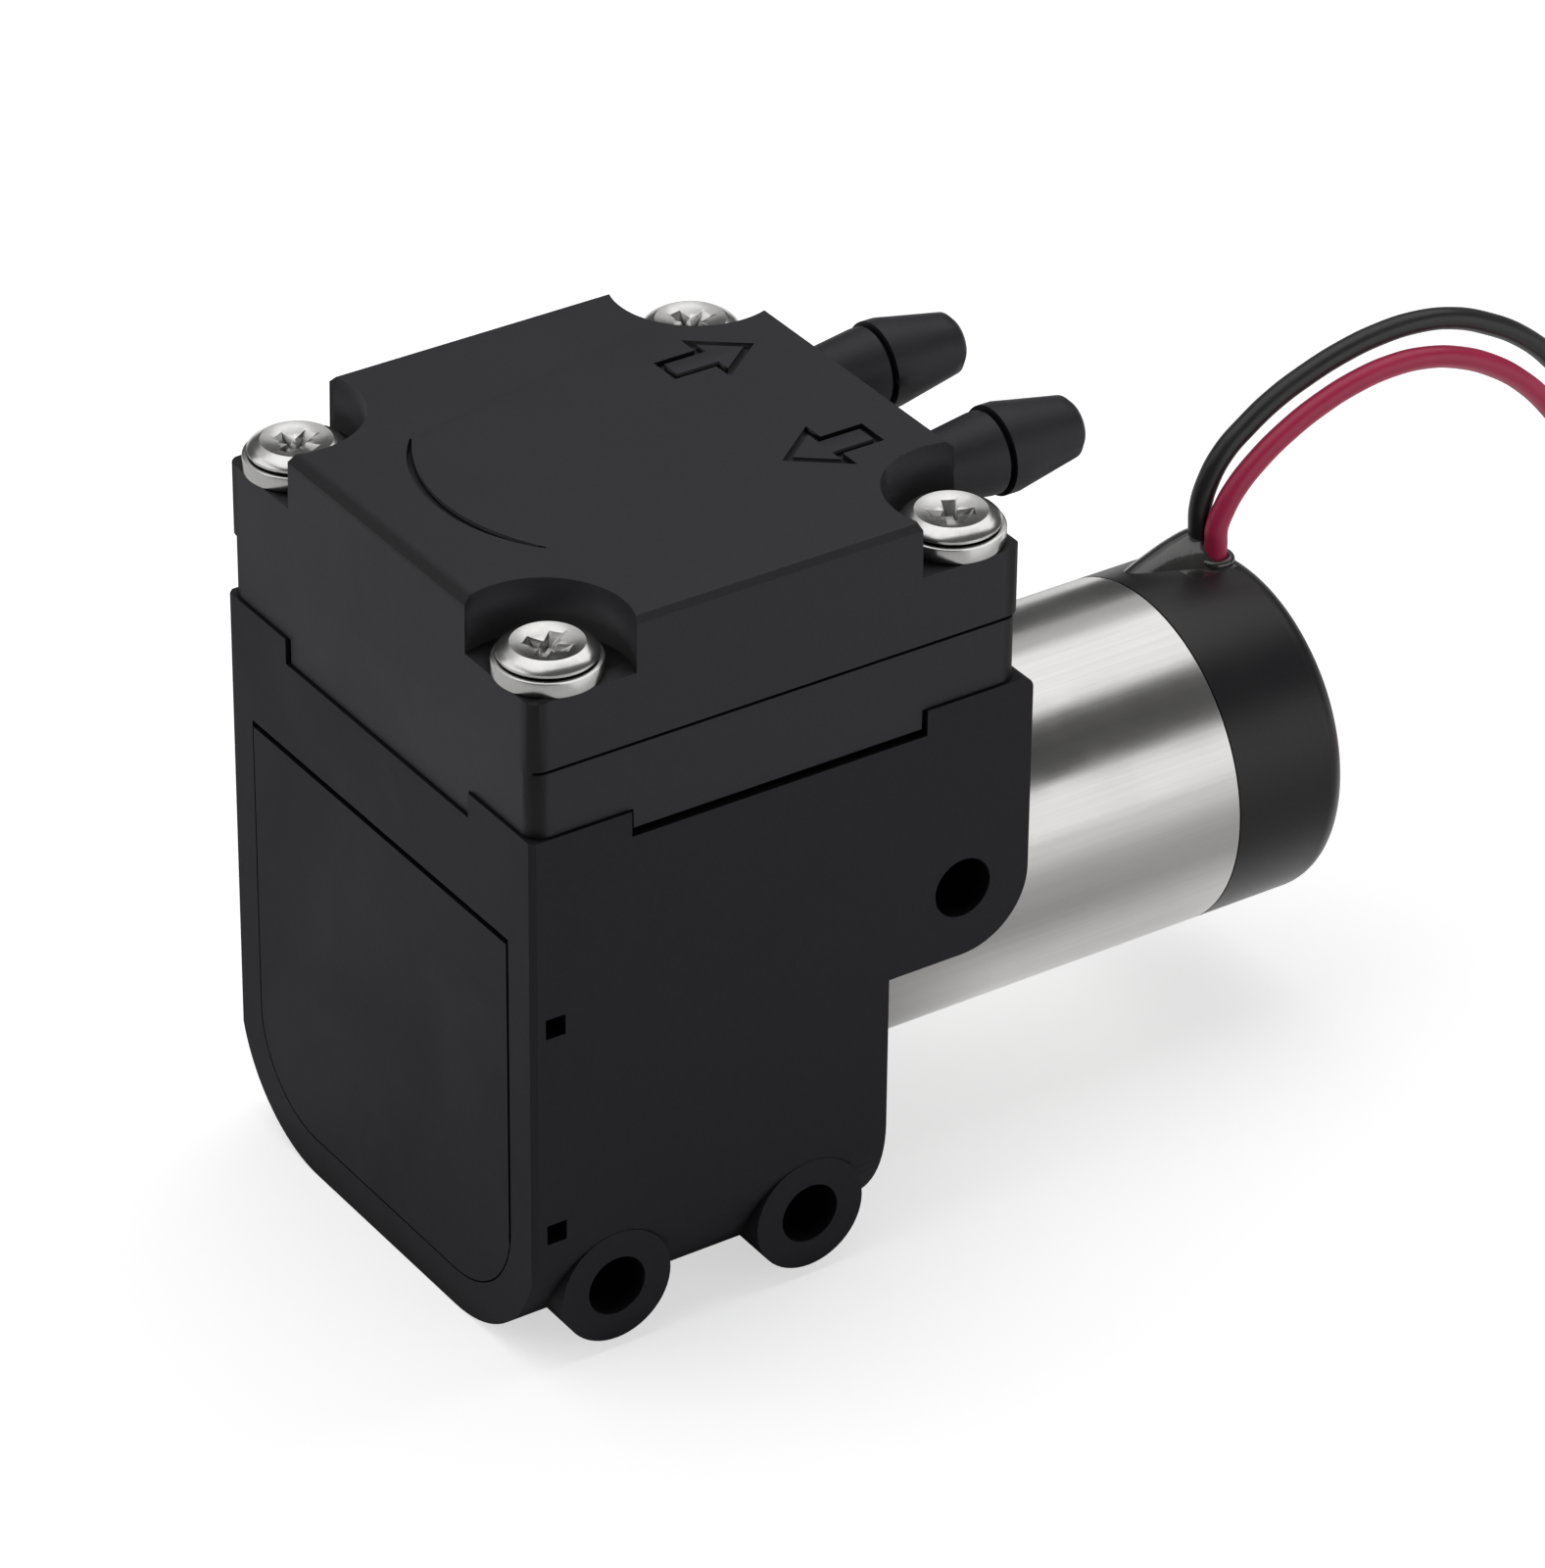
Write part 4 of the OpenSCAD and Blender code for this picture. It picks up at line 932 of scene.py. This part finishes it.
# %% The screw's profile
SEAT_Z = 41.0
WASHER_T = 0.9
BASE_Z = SEAT_Z + WASHER_T
SHANK_R = 1.48
SHANK_LEN = 14
SHANK_BEVEL = 0.3
SCREW_R = 2.65
SCREW_H = 1.25
FOOT_STEP = 0.2
FOOT_H = 0.16
RIM_H = 0.3
CROWN_H = 0.9
CROWN_RADII = (2.52, 2.35, 2.15)
DISH_R = 1.95
DISH_DEPTH = 0.3
DISH_SHARES = (0.8, 0.5, 0.25, 0)
CROWN_R = (SCREW_R ** 2 + CROWN_H ** 2) / (2 * CROWN_H)
TIP_Z = SEAT_Z - SHANK_LEN


def crown_z(r):
    return BASE_Z + SCREW_H - CROWN_R + math.sqrt(CROWN_R ** 2 - r ** 2)


screw_profile = [
    (0, TIP_Z), (SHANK_R - SHANK_BEVEL, TIP_Z), (SHANK_R, TIP_Z + SHANK_BEVEL), (SHANK_R, BASE_Z),
    (SCREW_R - FOOT_STEP, BASE_Z), (SCREW_R, BASE_Z + FOOT_H), (SCREW_R, BASE_Z + RIM_H),
]
screw_profile += [(r, crown_z(r)) for r in (*CROWN_RADII, DISH_R)]
screw_profile += [(DISH_R * k, crown_z(DISH_R) - DISH_DEPTH * (1 - k * k)) for k in DISH_SHARES]
print("points of the profile:", len(screw_profile))

# %% [markdown]
# The cross recess narrows towards its bottom, so that a driver centres in it: a cross is extruded downwards, its
# lower end is scaled in, and a Boolean takes it away from the screw.

# %% Cut the cross recess
RECESS_LONG = 3.5
RECESS_WIDE = 1.05
RECESS_DEPTH = 1.3
RECESS_TAPER = 0.4


def cross_cutter():
    """A cross that stands on its narrow end."""
    a, b = RECESS_LONG / 2, RECESS_WIDE / 2
    outline = [
        (b, b), (b, a), (-b, a), (-b, b), (-a, b), (-a, -b),
        (-b, -b), (-b, -a), (b, -a), (b, -b), (a, -b), (a, b),
    ]
    work = bmesh.new()
    low = pull(work, [flat_face(work, outline, (BASE_Z + SCREW_H) * MM)], -RECESS_DEPTH)
    bmesh.ops.scale(work, verts=low, vec=(RECESS_TAPER, RECESS_TAPER, 1))
    bmesh.ops.recalc_face_normals(work, faces=work.faces)
    return work


screw_work = carve(turned(screw_profile), [cross_cutter()], "screw_body")
print("one screw, faces:", len(screw_work.faces))

# %% [markdown]
# One screw becomes four: a mesh can be read into a bmesh as often as needed, and each new copy is turned by its
# own angle and moved to its corner. The washers come from a small rectangle that is spun almost full circle, which
# leaves the split that gives a lock washer its grip.

# %% Four screws and four lock washers
CORNERS = [(-1, -1), (1, -1), (1, 1), (-1, 1)]
SCREW_OFF = 12.3
SCREW_TURNS = (24, 38, 63, 11)
WASHER_TURNS = (200, 130, 250, 310)
WASHER_R = 2.9
WASHER_HOLE_R = 1.55
SPLIT_ANGLE = 9
WASHER_STEPS = 56


def join(whole, part, places):
    """Adds a copy of one bmesh to another for each place, and frees the first."""
    mesh = bpy.data.meshes.new("part")
    part.to_mesh(mesh)
    part.free()
    for place in places:
        first = len(whole.verts)
        whole.from_mesh(mesh)
        whole.verts.ensure_lookup_table()
        bmesh.ops.transform(whole, matrix=place, verts=whole.verts[first:])
    bpy.data.meshes.remove(mesh)
    return whole


def at_corners(shape, turns):
    places = []
    for (side_x, side_y), turn in zip(CORNERS, turns):
        corner = Matrix.Translation((side_x * SCREW_OFF * MM, side_y * SCREW_OFF * MM, 0))
        places.append(corner @ Matrix.Rotation(math.radians(turn), 4, "Z"))
    return join(bmesh.new(), shape, places)


def split_ring():
    work = bmesh.new()
    section = [(WASHER_HOLE_R, 0), (WASHER_R, 0), (WASHER_R, WASHER_T), (WASHER_HOLE_R, WASHER_T)]
    face = work.faces.new([work.verts.new((r * MM, 0, (SEAT_Z + z) * MM)) for r, z in section])
    bmesh.ops.spin(
        work, geom=[face, *face.edges, *face.verts], cent=(0, 0, 0), axis=(0, 0, 1),
        angle=math.radians(360 - SPLIT_ANGLE), steps=WASHER_STEPS,
    )
    bmesh.ops.recalc_face_normals(work, faces=work.faces)
    return work


nickel = finish["nickel_screw"]
screws = finished(soften(at_corners(screw_work, SCREW_TURNS), 0.06), "head_screws_turned", nickel)
washers = finished(soften(at_corners(split_ring(), WASHER_TURNS), 0.09), "lock_washers_split", nickel)
dress(screws, "nickel_screw", "pump", "head_screws")
dress(washers, "nickel_screw", "pump", "lock_washers")
print("screws and washers, faces:", len(screws.data.polygons), len(washers.data.polygons))

# %% [markdown]
# ## The resin round the leads
#
# Liquid resin pulls itself into a smooth mound. The solid model has it as a faceted hull, so the hull is made again
# from three fine balls, its long edges are cut smaller and all points are smoothed: each moves towards the middle
# of its neighbours, as the skin of a liquid does.

# %% Shape the mound
AXIS_Z = 14.65
CAN_R = 10
BALLS = [(1.7, (-2.4, 39.4), 1.3), (1.6, (-0.7, 39.7), 0.2), (1.3, (-2.6, 35.8), -0.1)]
EDGE_LIMITS = (0.6, 0.35)
SMOOTH_STEPS = 10


def resin_mound():
    """The hull of three balls, each a radius, a place and how far its top rises over the cap, smoothed."""
    work = bmesh.new()
    for radius, (x, y), rise in BALLS:
        middle = Vector((x, y, AXIS_Z + CAN_R + rise - radius)) * MM
        bmesh.ops.create_icosphere(work, subdivisions=4, radius=radius * MM, matrix=Matrix.Translation(middle))
    hull = bmesh.ops.convex_hull(work, input=work.verts[:])
    inside = {g for key in ("geom_interior", "geom_unused") for g in hull[key] if isinstance(g, bmesh.types.BMVert)}
    bmesh.ops.delete(work, geom=list(inside), context="VERTS")
    for limit in EDGE_LIMITS:
        long_edges = [e for e in work.edges if e.calc_length() > limit * MM]
        bmesh.ops.subdivide_edges(work, edges=long_edges, cuts=1, use_grid_fill=True)
        bmesh.ops.triangulate(work, faces=work.faces)
    for _ in range(SMOOTH_STEPS):
        bmesh.ops.smooth_vert(
            work, verts=work.verts, factor=0.5, use_axis_x=True, use_axis_y=True, use_axis_z=True
        )
    return work


mound_work = resin_mound()
print("points of the mound:", len(mound_work.verts))

# %% [markdown]
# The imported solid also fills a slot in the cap. A copy of it keeps that part, and what stood above the cap is
# pressed down flush. Last comes a small lip of resin at the foot of the red lead: a circle of points, spun round
# the lead. The three shapes are joined into one piece.

# %% Fill the slot, add the lip and join the resin
FLUSH = 0.02
LIP_R = 0.84
LIP_WIRE = 0.27
RED_FOOT = (-0.9, 39.8, 24.7)
RESIN_ANGLE = 75


def slot_filling():
    work = merged_copy("lead_seal")
    flush = (CAN_R - FLUSH) * MM
    for vert in work.verts:
        out = Vector((vert.co.x, 0, vert.co.z - AXIS_Z * MM))
        if out.length > flush:
            vert.co += out.normalized() * (flush - out.length)
    return work


def resin_lip():
    work = bmesh.new()
    foot = Vector(RED_FOOT) * MM
    place = Matrix.Translation(foot + Vector((LIP_R * MM, 0, 0))) @ Matrix.Rotation(math.pi / 2, 4, "X")
    circle = bmesh.ops.create_circle(work, segments=16, radius=LIP_WIRE * MM, matrix=place)["verts"]
    rim = list({e for v in circle for e in v.link_edges})
    bmesh.ops.spin(
        work, geom=circle + rim, cent=foot, axis=(0, 0, 1), angle=2 * math.pi, steps=40, use_merge=True
    )
    merge(work)
    return work


resin = bmesh.new()
for part in (slot_filling(), mound_work, resin_lip()):
    bmesh.ops.recalc_face_normals(part, faces=part.faces)
    join(resin, part, [Matrix.Identity(4)])
mound = finished(resin, "lead_seal_resin", finish["sealant"], RESIN_ANGLE)
dress(mound, "sealant", "pump", "lead_seal")
print("resin faces:", len(mound.data.polygons))

# %% [markdown]
# ## Finishes of the inner pieces
#
# The crank, the rod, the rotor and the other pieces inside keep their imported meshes. The record says which
# finish each node takes, so a loop hands the materials out.

# %% Dress the nodes
node_slot = {part["node"]: part["material_slot"] for part in frame["record"]["subparts"]}
for node, piece in nodes.items():
    piece.data.materials.clear()
    piece.data.materials.append(finish[node_slot[node]])
print("dressed nodes:", len(node_slot))

# %% [markdown]
# ## The floor
#
# The object stands on a white table. The floor is a plain white surface that keeps the shadow, and a little
# emission for the camera alone lets it run into the white background without an edge. The can mirrors the table,
# which in the photograph looks bright far away and close to the can, and dull in between. A glow that only glossy
# rays see has that pattern. It starts behind the head, so that the black front faces don't mirror it.

# %% The floor
FLOOR_HALF = 3.0
FLOOR_LOW = -0.02
FLOOR_SEEN = 0.6
FAR_GLOW = (35, 110, 0.4)
CLOSE_GLOW = (20, 9, 0.5)
BEHIND_HEAD = (12, 24)


def side_glow(tree, sideways, dark, bright, level):
    """A glow that grows from nothing to its level between two distances in mm."""
    return spread(tree, sideways, dark * MM, bright * MM, 0.0, level)


def stage_floor():
    work = bmesh.new()
    bmesh.ops.create_grid(work, x_segments=1, y_segments=1, size=FLOOR_HALF)
    bmesh.ops.translate(work, verts=work.verts, vec=(0, 0, FLOOR_LOW * MM))
    floor = to_object(work, "floor")
    made, tree, shader, place = start_material("floor_white")
    light = add(tree, "ShaderNodeLightPath").outputs
    axes = add(tree, "ShaderNodeSeparateXYZ", {"Vector": place}).outputs
    sideways = math_node(tree, "ABSOLUTE", axes["X"])
    glow = math_node(
        tree, "ADD", side_glow(tree, sideways, *FAR_GLOW), side_glow(tree, sideways, *CLOSE_GLOW)
    )
    start, full = BEHIND_HEAD
    behind_head = math_node(tree, "MULTIPLY", glow, spread(tree, axes["Y"], start * MM, full * MM))
    mirrored = math_node(tree, "MULTIPLY", light["Is Glossy Ray"], behind_head)
    seen = math_node(tree, "MULTIPLY", light["Is Camera Ray"], FLOOR_SEEN)
    feed(tree, shader, {
        "Base Color": grey(0.8),
        "Roughness": 0.9,
        "Specular IOR Level": 0.1,
        "Emission Color": grey(1),
        "Emission Strength": math_node(tree, "ADD", seen, mirrored),
    })
    floor.data.materials.append(made)
    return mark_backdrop(floor)


stage_floor()
print("floor side in m:", 2 * FLOOR_HALF)

# %% [markdown]
# ## The light
#
# The camera sees a plain white world, and everything else sees a dim one, so the can keeps a dark band between
# its reflections. Shiny metal needs something to reflect: a long soft box overhead and one at the side give the
# can its two bright bands. A weaker one beyond the first softens its edge, and one in front lights the head. A
# lamp's power grows with its area here, so that each is given by how bright its surface looks.

# %% World and lamps
WORLD_LEVEL = 0.08
HEAD = (0, 0.005, 0.02)
LAMPS = [  # name, place, target, size, radiance
    ("overhead", (-0.115, 0.25, 0.5), (-0.115, 0.25, 0), (0.45, 1.1), 1.2),
    ("overhead_edge", (-0.52, 0.25, 0.5), (-0.52, 0.25, 0), (0.36, 1.1), 0.5),
    ("side", (0.62, 0.45, 0.21), (0, 0.4, 0.02), (1.2, 0.4), 1.1),
    ("front", (-0.25, -0.6, 0.35), HEAD, (0.8, 0.6), 1.0),
]


def white_world():
    world = bpy.data.worlds.new("studio")
    bpy.context.scene.world = world
    world.use_nodes = True
    tree = world.node_tree
    seen = add(tree, "ShaderNodeLightPath").outputs["Is Camera Ray"]
    feed(tree, tree.nodes["Background"], {
        "Strength": spread(tree, seen, 0.0, 1.0, WORLD_LEVEL, 1.0),
        "Color": grey(1),
    })


def soft_box(name, place, target, size, radiance):
    """An area lamp that looks as bright as a sheet of white paper in full light at radiance 1."""
    data = bpy.data.lights.new(name, "AREA")
    data.shape = "RECTANGLE"
    data.size, data.size_y = size
    data.energy = radiance * math.pi * size[0] * size[1]
    lamp = bpy.data.objects.new(name, data)
    bpy.context.scene.collection.objects.link(lamp)
    aim = (Vector(target) - Vector(place)).to_track_quat("-Z", "Y")
    lamp.matrix_world = Matrix.Translation(place) @ aim.to_matrix().to_4x4()
    return lamp


white_world()
for lamp_numbers in LAMPS:
    soft_box(*lamp_numbers)
scene = bpy.context.scene
scene.view_settings.view_transform = "Standard"
